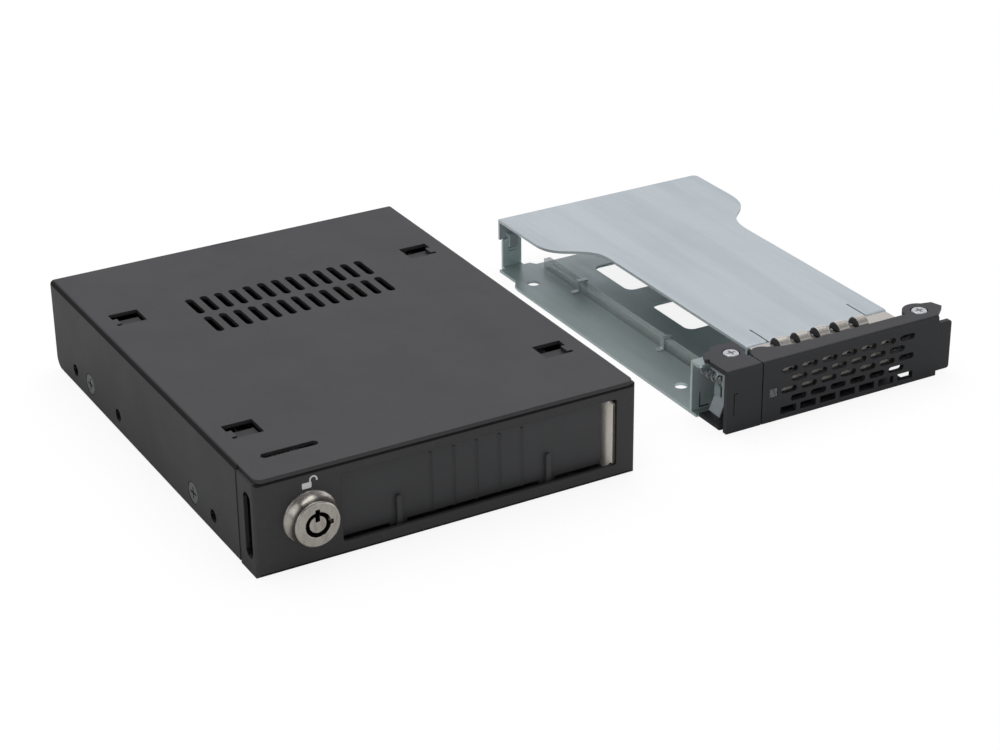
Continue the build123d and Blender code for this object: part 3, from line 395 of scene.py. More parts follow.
def powder_group():
    """Fine orange-peel of a powder coat, with painted shade on folds, edges, sides and sunk lugs."""
    group, inside, outside = start_look(
        "Powder Coat",
        Colour=(0.03, 0.03, 0.03, 1.0),
        Roughness=0.5,
        Bump_Width=0.0003,
        Fold=0.0,
        Shade_Height=1.0,
        Shade_Back=1.0,
    )
    places = coordinates(group)
    scale = number(group, "DIVIDE", 1.0, inside["Bump Width"])
    fine = stretched_noise(group, places, scale, detail=2.0, roughness=0.5)
    broad = stretched_noise(group, places, scale=55.0, roughness=0.6)
    speck = stretched_noise(group, places, scale=900.0, detail=1.0, roughness=0.4)
    lighter = toned(group, inside["Colour"], (1.14, 1.14, 1.15))
    colour = mixed_colour(group, spread(group, speck, low=0.62, high=0.74), inside["Colour"], lighter)
    # Painted shade: the coat is darkened along edges and in corners.
    thin = toned(group, inside["Colour"], (0.35, 0.35, 0.36))
    edge = times(group, inside["Edge"], 0.9)
    colour = mixed_colour(group, edge, colour, thin)
    # Painted shade: rounded folds are darkened.
    fold = times(group, fold_mask(group), inside["Fold"])
    dark = toned(group, inside["Colour"], (0.05, 0.055, 0.05))
    colour = mixed_colour(group, fold, colour, dark)
    # Painted shade on the sunk lugs.
    colour = shaded_lug(group, places, colour, inside)
    # Painted shade: faces that look to the left or right are darker and more olive.
    side = toned(group, colour, (0.70, 0.77, 0.66))
    colour = mixed_colour(group, side_shade_mask(group), colour, side)
    roughness = total(
        group, inside["Roughness"],
        spread(group, broad, low=0.3, high=0.7, to_low=-0.035, to_high=0.035),
        times(group, edge, 0.12),
    )
    roughness = number(group, "ADD", roughness, times(group, fold, 0.30), clamp=True)
    link_all(group, outside, Colour=colour, Roughness=roughness, Height=fine)
    return group


def fold_mask(tree):
    """One where a rounded fold faces halfway between up and sideways, zero on flat faces; it places
    painted shade on folds.
    """
    level = number(tree, "ABSOLUTE", axes(tree, coordinates(tree, "Normal"))[2])
    rest = number(tree, "SUBTRACT", 1.0, level)
    gain = 6.5
    return times(tree, times(tree, level, rest), gain, clamp=True)


def side_shade_mask(tree):
    """One on faces that look to the left or right, which get painted shade."""
    across = number(tree, "ABSOLUTE", axes(tree, coordinates(tree, "Normal"))[0])
    return spread(tree, across, low=0.8, high=1.0)


def shaded_lug(tree, places, colour, inside):
    """The colour with painted shade: darker above one height, and there darker again behind one depth."""
    depth, height = axes(tree, places)[1:]
    above = number(tree, "GREATER_THAN", height, inside["Shade Height"])
    behind = number(tree, "GREATER_THAN", depth, inside["Shade Back"])
    strength = spread(tree, behind, low=0.0, high=1.0, to_low=0.45, to_high=0.85)
    # Painted shade: the lugs are darkened towards black.
    black = toned(tree, colour, (0.1, 0.1, 0.1))
    return mixed_colour(tree, times(tree, above, strength), colour, black)


def painted_facing_light(tree, side, front):
    """Painted light and shade: how much brighter or darker the bent-up faces are made; sides and fronts
    have their own gain.
    """
    facing = coordinates(tree, "Normal")
    squared = vector_step(tree, "MULTIPLY", facing, facing)
    return vector_step(tree, "DOT_PRODUCT", squared, joined(tree, X=side, Y=front, Z=1.0), "Value")


def sheet_group():
    """Rolled zinc sheet: streaks along the rolling way, broad bands with painted shade, cloudy plating,
    painted light and shade on bent-up faces and painted highlights on edges.
    """
    group, inside, outside = start_look(
        "Rolled Zinc",
        Colour=(0.5, 0.55, 0.6, 1.0),
        Roughness=0.35,
        Streak=1.0,
        Side_Gain=1.0,
        Front_Gain=1.0,
        Bands=0.0,
    )
    places = coordinates(group)
    streaks = stretched_noise(group, places, 900.0, (1.0, 0.035, 1.0), roughness=0.6)
    cloud = stretched_noise(group, places, 42.0, (1.0, 0.6, 1.0), detail=4.0, roughness=0.55)
    grain = stretched_noise(group, places, 2600.0, (1.0, 0.3, 1.0), detail=2.0, roughness=0.5)
    bands = stretched_noise(group, places, 150.0, (1.0, 0.06, 0.2), detail=1.0, roughness=0.4)
    # Painted light and shade: faces that look sideways or forwards are made brighter or darker by their
    # own gain.
    facing = painted_facing_light(group, inside["Side Gain"], inside["Front Gain"])
    facing_lit = toned(group, inside["Colour"], facing)
    darker = toned(group, facing_lit, (0.92, 0.93, 0.935))
    colour = mixed_colour(group, spread(group, cloud, low=0.35, high=0.68), facing_lit, darker)
    line = toned(group, colour, (0.965, 0.965, 0.97))
    colour = mixed_colour(group, spread(group, streaks, low=0.45, high=0.75), colour, line)
    # Painted shade along the broad bands, which also raise a matching bump.
    shade = toned(group, colour, (0.86, 0.87, 0.88))
    share = times(group, spread(group, bands, low=0.44, high=0.58), inside["Bands"])
    colour = mixed_colour(group, share, colour, shade)
    # Painted highlight: the edges are brighter than the sheet.
    edge_highlight = toned(group, inside["Colour"], (1.35, 1.32, 1.30))
    colour = mixed_colour(group, times(group, inside["Edge"], 0.7), colour, edge_highlight)
    change = spread(group, streaks, low=0.3, high=0.7, to_low=-0.05, to_high=0.06)
    roughness = total(
        group, inside["Roughness"],
        times(group, change, inside["Streak"]),
        spread(group, cloud, low=0.3, high=0.7, to_low=-0.03, to_high=0.04),
    )
    height = total(
        group, times(group, streaks, inside["Streak"]),
        times(group, grain, 0.35),
        times(group, share, 2.0),
    )
    link_all(group, outside, Colour=colour, Roughness=roughness, Height=height)
    return group


def moulded_group():
    """Fine spark-eroded grain of a moulded plastic, with painted highlights on edges."""
    group, inside, outside = start_look(
        "Moulded Grain", Colour=(0.03, 0.03, 0.03, 1.0), Roughness=0.45, Grain_Width=0.00018,
    )
    places = coordinates(group)
    scale = number(group, "DIVIDE", 1.0, inside["Grain Width"])
    grain = stretched_noise(group, places, scale, detail=2.0, roughness=0.6)
    flow = stretched_noise(group, places, 90.0, (0.4, 1, 1), roughness=0.5)
    lighter = toned(group, inside["Colour"], (1.18, 1.18, 1.18))
    colour = mixed_colour(group, spread(group, flow, low=0.35, high=0.7), inside["Colour"], lighter)
    # Painted highlight: the edges are lighter.
    plastic_edge_highlight = toned(group, inside["Colour"], (1.7, 1.7, 1.72))
    edge = times(group, inside["Edge"], 0.5)
    colour = mixed_colour(group, edge, colour, plastic_edge_highlight)
    change = spread(group, flow, low=0.3, high=0.7, to_low=-0.04, to_high=0.05)
    roughness = number(group, "ADD", inside["Roughness"], change)
    roughness = number(group, "SUBTRACT", roughness, times(group, edge, 0.12))
    link_all(group, outside, Colour=colour, Roughness=roughness, Height=grain)
    return group


def turned_group():
    """Rings left by the lathe round an axis along Y, tiny scratches, painted highlights on edges, and
    painted shade in a recess.
    """
    group, inside, outside = start_look(
        "Turned Metal",
        Colour=(0.6, 0.57, 0.52, 1.0),
        Roughness=0.25,
        Centre=(0.0, 0.0, 0.0),
        Recess_Radius=0.0,
        Recess_Front=0.0,
    )
    places = coordinates(group)
    x, y, z = axes(group, vector_step(group, "SUBTRACT", places, inside["Centre"]))
    radius = vector_step(group, "LENGTH", joined(group, X=x, Z=z), output="Value")
    ring_place = joined(group, X=radius, Y=y)
    rings = stretched_noise(group, ring_place, scale=9000.0, detail=2.0, roughness=0.6)
    scuff = stretched_noise(group, places, 700.0, (1, 1, 0.3), detail=4.0, roughness=0.65)
    darker = toned(group, inside["Colour"], (0.66, 0.64, 0.61))
    colour = mixed_colour(group, spread(group, scuff, low=0.45, high=0.75), inside["Colour"], darker)
    # Painted highlight: the edges are brighter.
    edge_highlight = toned(group, inside["Colour"], (1.7, 1.7, 1.7))
    colour = mixed_colour(group, times(group, inside["Edge"], 0.6), colour, edge_highlight)
    # Painted shade in the recess: darker within the recess radius and deeper than its front.
    within = number(group, "LESS_THAN", radius, inside["Recess Radius"])
    depth = number(group, "SUBTRACT", y, inside["Recess Front"])
    deep = times(group, within, spread(group, depth, low=0.0, high=0.0009))
    recess_shade = toned(group, inside["Colour"], (0.035, 0.035, 0.035))
    colour = mixed_colour(group, deep, colour, recess_shade)
    roughness = total(
        group, inside["Roughness"],
        spread(group, rings, low=0.3, high=0.7, to_low=-0.05, to_high=0.08),
        times(group, deep, 0.3),
    )
    link_all(group, outside, Colour=colour, Roughness=roughness, Height=rings)
    return group


def group_node(tree, name, values):
    """A node of one of the groups, with its inputs set; the group is made the first time."""
    makers = {
        "Soft Edge": soft_edge_group,
        "Powder Coat": powder_group,
        "Rolled Zinc": sheet_group,
        "Moulded Grain": moulded_group,
        "Turned Metal": turned_group,
    }
    node = tree.nodes.new("ShaderNodeGroup")
    node.node_tree = bpy.data.node_groups.get(name) or makers[name]()
    for label, value in values.items():
        node.inputs[label].default_value = (*value, 1.0) if label == "Colour" else value
    return node


# Finishes

def node_material(name):
    """A new material with its node tree and its shader's inputs."""
    material = bpy.data.materials.new(name)
    material.use_nodes = True
    tree = material.node_tree
    return material, tree, tree.nodes["Principled BSDF"].inputs


def finish(name, group_name, values, edge_radius, bump, depth, **shader_values):
    """A material whose colour, roughness and bump come from one of the groups."""
    if name in bpy.data.materials:
        return bpy.data.materials[name]
    material, tree, shader = node_material(name)
    edge = group_node(tree, "Soft Edge", {"Radius": edge_radius}).outputs
    look = group_node(tree, group_name, values)
    tree.links.new(edge["Edge"], look.inputs["Edge"])
    look = look.outputs
    normal = raised(tree, look["Height"], bump, depth, edge["Normal"])
    link_all(tree, shader, Normal=normal, Base_Color=look["Colour"], Roughness=look["Roughness"])
    for label, value in shader_values.items():
        shader[label.replace("_", " ")].default_value = value
    return material


def powder_coat(context, name="black_powder_coat", fold=1.0, shade_height=1.0, shade_back=1.0):
    """The cage's coat; above the shade height a sunk lug gets painted shade."""
    cage = context.scene.cage_finish
    return finish(
        name, "Powder Coat",
        {
            "Colour": tuple(cage.coat_colour),
            "Roughness": cage.coat_roughness,
            "Bump Width": cage.coat_speck,
            "Fold": fold,
            "Shade Height": shade_height,
            "Shade Back": shade_back,
        },
        cage.edge_radius, bump=0.35, depth=0.00004, Specular_IOR_Level=0.42,
    )


def zinc_sheet(context, name="zinc_sheet", tint=None, roughness=None, streak=1.0, metal=0.85,
               side_painted_light=1.0, front_painted_light=1.0, bands=0.0):
    """Zinc-plated sheet; without a tint and a roughness it takes the tray's. The side and front values
    paint light and shade on faces that look sideways and forwards.
    """
    tray = context.scene.tray_finish
    return finish(
        name, "Rolled Zinc",
        {
            "Colour": tint or tuple(tray.zinc),
            "Roughness": tray.zinc_roughness if roughness is None else roughness,
            "Streak": streak,
            "Side Gain": side_painted_light,
            "Front Gain": front_painted_light,
            "Bands": bands,
        },
        edge_radius=0.00015, bump=0.16, depth=0.00002, Metallic=metal,
    )


def moulded_black(name, colour, roughness):
    return finish(
        name, "Moulded Grain",
        {"Colour": tuple(colour), "Roughness": roughness, "Grain Width": 0.00016},
        edge_radius=0.00018, bump=0.25, depth=0.00003, Specular_IOR_Level=0.42,
    )


def handle_plastic(context):
    return moulded_black("handle_plastic", context.scene.tray_finish.handle_colour, roughness=0.40)


def clear_material(name, colour, roughness, clearness, body=1.0):
    """Clear moulded plastic with faint flow marks and a painted highlight that makes the edges paler and
    solid; body is how solid it looks.
    """
    if name in bpy.data.materials:
        return bpy.data.materials[name]
    material, tree, shader = node_material(name)
    shader["Transmission Weight"].default_value = clearness
    shader["IOR"].default_value = 1.49
    flow = stretched_noise(tree, coordinates(tree), 260.0, (1, 0.2, 1), roughness=0.5)
    flow_tone = 0.9
    darker = tuple(flow_tone * part for part in colour)
    # Painted highlight: the edges are paler and fully solid.
    edge = group_node(tree, "Soft Edge", {"Radius": 0.0003}).outputs["Edge"]
    smooth = max(roughness - 0.05, 0.0)
    link_all(
        tree, shader,
        Base_Color=mixed_colour(tree, edge, mixed_colour(tree, flow, colour, darker), (0.92, 0.95, 0.95)),
        Alpha=spread(tree, edge, low=0.0, high=1.0, to_low=body, to_high=1.0),
        Roughness=spread(tree, flow, low=0.3, high=0.7, to_low=smooth, to_high=roughness + 0.06),
        Normal=raised(tree, flow, strength=0.15, depth=0.00005),
    )
    return material


def board_material():
    """Green circuit board with tracks under the solder mask."""
    material, tree, shader = node_material("circuit_board")
    mapping = tree.nodes.new("ShaderNodeMapping")
    mapping.inputs["Rotation"].default_value = (math.radians(90), 0, 0)
    tree.links.new(coordinates(tree), mapping.inputs["Vector"])
    tracks = tree.nodes.new("ShaderNodeTexBrick")
    for label, value in (
        ("Scale", 180.0),
        ("Mortar Size", 0.03),
        ("Color1", (0.012, 0.075, 0.035, 1)),
        ("Color2", (0.010, 0.062, 0.030, 1)),
        ("Mortar", (0.03, 0.14, 0.06, 1)),
    ):
        tracks.inputs[label].default_value = value
    tree.links.new(mapping.outputs["Vector"], tracks.inputs["Vector"])
    shader["Roughness"].default_value = 0.32
    normal = raised(tree, tracks.outputs["Fac"], strength=0.3, depth=0.00003)
    link_all(tree, shader, Base_Color=tracks.outputs["Color"], Normal=normal)
    return material


def dress(material, *nodes):
    """Puts a finish on CAD nodes."""
    for node in nodes:
        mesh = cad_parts[node].data
        mesh.materials.clear()
        mesh.materials.append(material)


# Shapes

def new_piece(name, mesh, material):
    """A piece in the scene, from a mesh."""
    piece = bpy.data.objects.new(name, mesh)
    bpy.context.scene.collection.objects.link(piece)
    mesh.materials.append(material)
    return piece


def solid_piece(name, shape, material):
    """A piece in the scene, from closed solids in a bmesh."""
    bmesh.ops.recalc_face_normals(shape, faces=shape.faces)
    mesh = bpy.data.meshes.new(name)
    shape.to_mesh(mesh)
    shape.free()
    return new_piece(name, mesh, material)


def add_solid(shape, outline, place, thickness):
    """A closed solid: the outline, placed in space, and its copy moved by the thickness."""
    near = [shape.verts.new(place(*point)) for point in outline]
    far = [shape.verts.new(vertex.co + Vector(thickness)) for vertex in near]
    shape.faces.new(near)
    shape.faces.new(reversed(far))
    count = len(near)
    for step in range(count):
        following = (step + 1) % count
        shape.faces.new((near[following], near[step], far[step], far[following]))


def arc(centre, across, up, start, end, step):
    """Points round a centre, from one angle to another in degrees."""
    return [
        (
            centre[0] + across * math.cos(math.radians(turn)),
            centre[1] + up * math.sin(math.radians(turn)),
        )
        for turn in range(start, end + (1 if step > 0 else -1), step)
    ]


def lock_centre():
    low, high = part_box("lock_barrel")
    return (low + high) / 2


# Operators, one for each group of pieces

class COAT_OT_cage(bpy.types.Operator):
    """Powder-coat the cover, base and bezel"""

    bl_idname = "drive_rack.coat_cage"
    bl_label = "Coat the cage"

    def execute(self, context):
        dress(powder_coat(context), "cage_cover", "front_bezel")
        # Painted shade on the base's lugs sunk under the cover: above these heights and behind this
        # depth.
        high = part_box("cage_cover")[1]
        lugs = high.z - 2.2 * MM
        rear = high.y - 1.1 * MM
        base = powder_coat(context, "base_powder_coat", fold=0.0, shade_height=lugs, shade_back=rear)
        dress(base, "cage_base")
        black = finish(
            "black_oxide", "Moulded Grain",
            {"Colour": (0.115, 0.120, 0.122), "Roughness": 0.32, "Grain Width": 0.0003},
            edge_radius=0.0001, bump=0.2, depth=0.00002, Metallic=0.6,
        )
        dress(black, "left_screw_front", "left_screw_rear", "right_screw_front", "right_screw_rear")
        return {"FINISHED"}


class RAIL_OT_inside(bpy.types.Operator):
    """Finish the rails, backplane and connectors inside the cage"""

    bl_idname = "drive_rack.finish_inside"
    bl_label = "Finish the inside"

    def execute(self, context):
        cage = context.scene.cage_finish
        # Painted light and shade: the rail's inner sides are brightened and its cut fronts darkened.
        rail = zinc_sheet(
            context, "rail_zinc", tint=tuple(cage.rail_colour), roughness=0.42,
            metal=0.0, side_painted_light=1.8, front_painted_light=0.10,
        )
        dress(rail, "left_rail", "right_rail", "door_pin", "door_spring")
        dress(board_material(), "backplane_board")
        socket = moulded_black("socket_plastic", (0.018, 0.018, 0.02), roughness=0.35)
        dress(socket, "drive_connector", "rear_data_connector", "rear_power_connector")
        dress(screw_zinc(context), "board_screws")
        light = clear_material("board_light_clear", (0.85, 0.9, 0.85), roughness=0.2, clearness=0.5)
        dress(light, "board_light")
        return {"FINISHED"}


class DOOR_OT_finish(bpy.types.Operator):
    """Finish the moulded dust door"""

    bl_idname = "drive_rack.finish_door"
    bl_label = "Finish the dust door"

    def execute(self, context):
        colour = context.scene.cage_finish.door_colour
        dress(moulded_black("door_plastic", colour, roughness=0.50), "dust_door")
        return {"FINISHED"}


class LOCK_OT_finish(bpy.types.Operator):
    """Finish the tubular key lock"""

    bl_idname = "drive_rack.finish_lock"
    bl_label = "Finish the lock"

    def execute(self, context):
        lock = context.scene.lock_finish
        centre = lock_centre()
        low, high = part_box("lock_rotor")
        # The painted shade of the recess reaches a little past the rotor; the edge radius also sets the
        # width of the painted highlight on the rims.
        side_gap = 0.4 * MM
        front_gap = 0.2 * MM
        nickel = finish(
            "lock_nickel", "Turned Metal",
            {
                "Colour": tuple(lock.plating),
                "Roughness": lock.roughness,
                "Centre": tuple(centre),
                "Recess Radius": (high.x - low.x) / 2 + side_gap,
                "Recess Front": low.y - centre.y + front_gap,
            },
            edge_radius=0.00032, bump=0.25, depth=0.00001, Metallic=1.0,
        )
        dress(nickel, "lock_barrel", "lock_rotor", "lock_nut")
        lever = zinc_sheet(context, "cam_zinc", tint=(0.62, 0.62, 0.60), roughness=0.32)
        dress(lever, "lock_cam", "cam_screw")
        return {"FINISHED"}


class SIGN_OT_padlock(bpy.types.Operator):
    """Print the open padlock sign over the lock"""

    bl_idname = "drive_rack.print_sign"
    bl_label = "Print the padlock sign"

    def execute(self, context):
        colour = tuple(context.scene.cage_finish.sign_colour)
        ink = finish(
            "sign_ink", "Moulded Grain",
            {"Colour": colour, "Roughness": 0.55, "Grain Width": 0.0002},
            edge_radius=0.00002, bump=0.15, depth=0.00001,
        )
        centre = lock_centre()
        ink_layer = 0.01 * MM
        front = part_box("front_bezel")[0].y - ink_layer
        corners, faces = padlock_outline()
        places = [(centre.x + x * MM, front, centre.z + z * MM) for x, z in corners]
        mesh = bpy.data.meshes.new("padlock_sign")
        mesh.from_pydata(places, [], faces)
        mesh.update()
        piece = new_piece("padlock_sign", mesh, ink)
        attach(piece, "cage")
        return {"FINISHED"}


def padlock_outline():
    """Corners and faces of an open padlock, in millimetres from the lock's axis."""
    left, right, low, high, corner = -1.75, 0.65, 7.55, 9.05, 0.25
    corner_points = 5
    corners = []
    for x, z, start in (
        (right - corner, low + corner, -90),
        (right - corner, high - corner, 0),
        (left + corner, high - corner, 90),
        (left + corner, low + corner, 180),
    ):
        for step in range(corner_points):
            turn = math.radians(start + 90 * step / (corner_points - 1))
            corners.append((x + corner * math.cos(turn), z + corner * math.sin(turn)))
    faces = [tuple(range(len(corners)))]
    middle, base, radius, stroke = 1.15, 9.45, 0.85, 0.38
    overlap, free_end = 0.05, 0.35
    path = [(middle - radius, high - overlap)]
    path += arc((middle, base), -radius, radius, 0, 180, 15)
    path.append((middle + radius, base - free_end))
    first = len(corners)
    for place, (x, z) in enumerate(path):
        before = path[max(place - 1, 0)]
        after = path[min(place + 1, len(path) - 1)]
        way = Vector((after[0] - before[0], after[1] - before[1])).normalized()
        aside = way.y * stroke / 2
        along = way.x * stroke / 2
        corners += [(x - aside, z + along), (x + aside, z - along)]
        if place:
            here = first + 2 * place
            faces.append((here - 2, here - 1, here + 1, here))
    return corners, faces


class TRAY_OT_sheets(bpy.types.Operator):
    """Finish the tray's zinc-plated sheets and the clips on them"""

    bl_idname = "drive_rack.finish_tray"
    bl_label = "Finish the tray sheets"

    def execute(self, context):
        dress(cover_zinc(context), "tray_cover")
        # Painted light: the base's sides and fronts, the front post among them, are brightened.
        base = zinc_sheet(
            context, "base_sheet", tint=tuple(context.scene.tray_finish.base_zinc), roughness=0.34,
            metal=0.70, side_painted_light=1.7, front_painted_light=2.2,
        )
        dress(base, "tray_base")
        for node, name, tint, roughness, streak in (
            ("pipe_clips", "clip_steel", (0.80, 0.82, 0.82), 0.20, 0.4),
            ("catch_plate", "catch_steel", (0.36, 0.40, 0.43), 0.30, 0.4),
            ("latch_spring", "spring_wire", (0.5, 0.5, 0.5), 0.3, 0.3),
        ):
            dress(zinc_sheet(context, name, tint, roughness, streak), node)
        return {"FINISHED"}


def cover_zinc(context):
    return zinc_sheet(context, metal=0.7, bands=0.5)


def screw_zinc(context):
    return zinc_sheet(context, "screw_zinc", tint=(0.72, 0.73, 0.74), roughness=0.28, streak=0.3)


class COVER_OT_shape(bpy.types.Operator):
    """Shape the tray's top sheet with its S-shaped edges, bent lips and rear hooks"""

    bl_idname = "drive_rack.shape_cover"
    bl_label = "Shape the tray cover"

    def execute(self, context):
        shape = context.scene.cover_shape
        low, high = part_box("tray_cover")
        sheet = bmesh.new()
        top_sheet(sheet, shape, low, high)
        for edge in (low.x + shape.left_step, high.x - shape.right_step - shape.lip_width):
            bent_lip(sheet, shape, edge, low.y, high.z)
        flange = 6.7 * MM
        hook_inset = 3.6 * MM
        for edge, middle in (
            (low.x, low.x + hook_inset),
            (high.x - flange, high.x - hook_inset),
        ):
            rear_hook(sheet, shape.sheet, edge, flange, middle, high)
        piece = solid_piece("tray_top_sheet", sheet, cover_zinc(context))
        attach(piece, "tray")
        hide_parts("tray_cover")
        return {"FINISHED"}


def wave(start, end, points):
    """An S-shaped edge between two straight runs along Y, without its two ends."""
    softness = 0.62
    bend = softness * (end[1] - start[1])
    handles = (start, (start[0], start[1] + bend), (end[0], end[1] - bend), end)
    for step in range(1, points):
        share = step / points
        rest = 1 - share
        weights = (rest ** 3, 3 * share * rest ** 2, 3 * share ** 2 * rest, share ** 3)
        yield tuple(sum(w * handle[axis] for w, handle in zip(weights, handles)) for axis in (0, 1))


def top_sheet(sheet, shape, low, high):
    """The flat part: wings at the rear, the neck, and two slits beside the lips."""
    left = low.x + shape.left_step
    right = high.x - shape.right_step
    bend_back = low.y + shape.lip_bend
    slit_back = low.y + shape.slit_length
    left_slit = left + shape.lip_width
    right_slit = right - shape.lip_width
    left_wave = (low.x, high.y - shape.left_wing)
    left_neck = (left, left_wave[1] - shape.left_curve)
    right_wave = (high.x, high.y - shape.right_wing)
    right_neck = (right, right_wave[1] - shape.right_curve)
    corner = shape.corner
    outline = [
        left_wave, *wave(left_wave, left_neck, shape.curve_points), left_neck,
        (left, bend_back), (left_slit, bend_back), (left_slit, slit_back),
        (left_slit + shape.slit_width, slit_back), (left_slit + shape.slit_width, low.y),
        (right_slit - shape.slit_width, low.y), (right_slit - shape.slit_width, slit_back),
        (right_slit, slit_back), (right_slit, bend_back), (right, bend_back),
        right_neck, *wave(right_neck, right_wave, shape.curve_points), right_wave,
        *arc((high.x - corner, high.y - corner), corner, corner, 0, 90, 15),
        (low.x, high.y),
    ]
    add_solid(sheet, outline, lambda x, y: (x, y, high.z), (0, 0, -shape.sheet))


def bent_lip(sheet, shape, left, front, top):
    """A lip at the front: a quarter bend and a short straight part under it."""
    bend = shape.lip_bend
    thin = shape.lip_bend - shape.sheet
    centre = (front + bend, top - bend)
    outer = arc(centre, bend, bend, 90, 180, 15)
    inner = arc(centre, thin, thin, 180, 90, -15)
    ends = [(y, z - shape.lip_drop) for y, z in (outer[-1], inner[0])]
    add_solid(sheet, outer + ends + inner, lambda y, z: (left, y, z), (shape.lip_width, 0, 0))


def rear_hook(sheet, thickness, left, width, middle, high):
    """A flange bent down at the rear, with a hook that holds the bottom sheet's tab."""
    flange_low = 9.0 * MM
    hook_low = 7.1 * MM
    hook_high = 10.9 * MM
    hook_root = 9.3 * MM
    half = 1.4 * MM
    reach = 2.0 * MM
    back = high.y
    inner = back - thickness
    top = high.z - thickness
    flange = [(back, top), (back, flange_low), (inner, flange_low), (inner, top)]
    hook = [
        (inner, hook_high), (inner - reach, hook_high), (inner - reach, hook_low),
        (back - reach, hook_low), (back - reach, hook_root), (inner, hook_root),
    ]
    add_solid(sheet, flange, lambda y, z: (left, y, z), (width, 0, 0))
    add_solid(sheet, hook, lambda y, z: (middle - half, y, z), (2 * half, 0, 0))


class ARCH_OT_shade(bpy.types.Operator):
    """Fill the arches of the grounding fingers with black pieces that stand for the painted shade inside
    them
    """

    bl_idname = "drive_rack.shape_ribs"
    bl_label = "Shade the finger arches"

    def execute(self, context):
        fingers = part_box("grounding_fingers")[1]
        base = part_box("tray_cover")[1].z
        tray_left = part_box("tray_base")[0].x
        finger_count = 5
        first_inset = 22.9 * MM
        pitch = 6.25 * MM
        finger_width = 3.1 * MM
        side_gap = 0.05 * MM
        back_gap = 0.72 * MM
        top_gap = 0.32 * MM
        half = 2.18 * MM
        rise = fingers.z - base - top_gap
        profile = arc((fingers.y - back_gap - half, base), half, rise, 0, 180, 15)
        width = finger_width - 2 * side_gap
        # The black pieces are painted shade filling the arches.
        ribs = bmesh.new()
        for step in range(finger_count):
            left = tray_left + first_inset + step * pitch + side_gap
            add_solid(ribs, profile, lambda y, z: (left, y, z), (width, 0, 0))
        piece = solid_piece("finger_arch_shade", ribs, handle_plastic(context))
        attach(piece, "tray")
        return {"FINISHED"}


class SLOT_OT_shade(bpy.types.Operator):
    """Fill the L-shaped slot of the front post with a black piece that stands for the painted shade
    inside it
    """

    bl_idname = "drive_rack.shape_key"
    bl_label = "Shade the post slot"

    def execute(self, context):
        slot_inset = 2.43 * MM
        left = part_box("tray_base")[0].x + slot_inset
        low = 1.23 * MM
        high = 5.57 * MM
        stroke = 0.34 * MM
        reach = 2.94 * MM
        front = -45.14 * MM
        depth = 0.7 * MM
        outline = [
            (left, low), (left + reach, low), (left + reach, low + stroke),
            (left + stroke, low + stroke), (left + stroke, high), (left, high),
        ]
        # The black piece is painted shade filling the slot.
        key = bmesh.new()
        add_solid(key, outline, lambda x, z: (x, front, z), (0, depth, 0))
        piece = solid_piece("post_slot_shade", key, handle_plastic(context))
        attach(piece, "tray")
        return {"FINISHED"}


class PIPE_OT_finish(bpy.types.Operator):
    """Finish the clear light pipe and the status lens"""

    bl_idname = "drive_rack.finish_pipe"
    bl_label = "Finish the light pipe"

    def execute(self, context):
        pipe = clear_material(
            "pipe_clear", (0.80, 0.86, 0.85), roughness=0.14, clearness=0.55, body=0.5
        )
        dress(pipe, "light_pipe")
        lens = clear_material("lens_clear", (0.50, 0.53, 0.53), roughness=0.12, clearness=0.92)
        dress(lens, "status_lens")
        return {"FINISHED"}


class HANDLE_OT_finish(bpy.types.Operator):
    """Finish the black front of the tray, its fingers and its two screws"""

    bl_idname = "drive_rack.finish_handle"
    bl_label = "Finish the handle"

    def execute(self, context):
        dress(handle_plastic(context), "handle", "latch", "front_carrier")
        tint = tuple(context.scene.tray_finish.finger_colour)
        # Painted shade: the fingers' side faces are darkened.
        fingers = zinc_sheet(
            context, "finger_nickel", tint, roughness=0.27, streak=0.5, side_painted_light=0.15
        )
        dress(fingers, "grounding_fingers")
        dress(screw_zinc(context), "handle_screw", "latch_screw")
        return {"FINISHED"}


class STAGE_OT_build(bpy.types.Operator):
    """Build the floor, the lamps and the camera"""

    bl_idname = "drive_rack.build_stage"
    bl_label = "Build the stage"

    def execute(self, context):
        stage = context.scene.stage_settings
        build_floor(stage)
        build_world(stage)
        for name, place, target, size, power in (
            ("top_lamp", (0.10, 0.25, 0.95), (0.03, 0.0, 0.0), 1.1, stage.top_lamp),
            ("side_lamp", (-0.95, -0.25, 0.55), (0.0, 0.0, 0.01), 0.8, stage.side_lamp),
        ):
            area_lamp(name, place, target, size, power)
        place_camera(context)
        context.scene.view_settings.view_transform = "Standard"
        return {"FINISHED"}


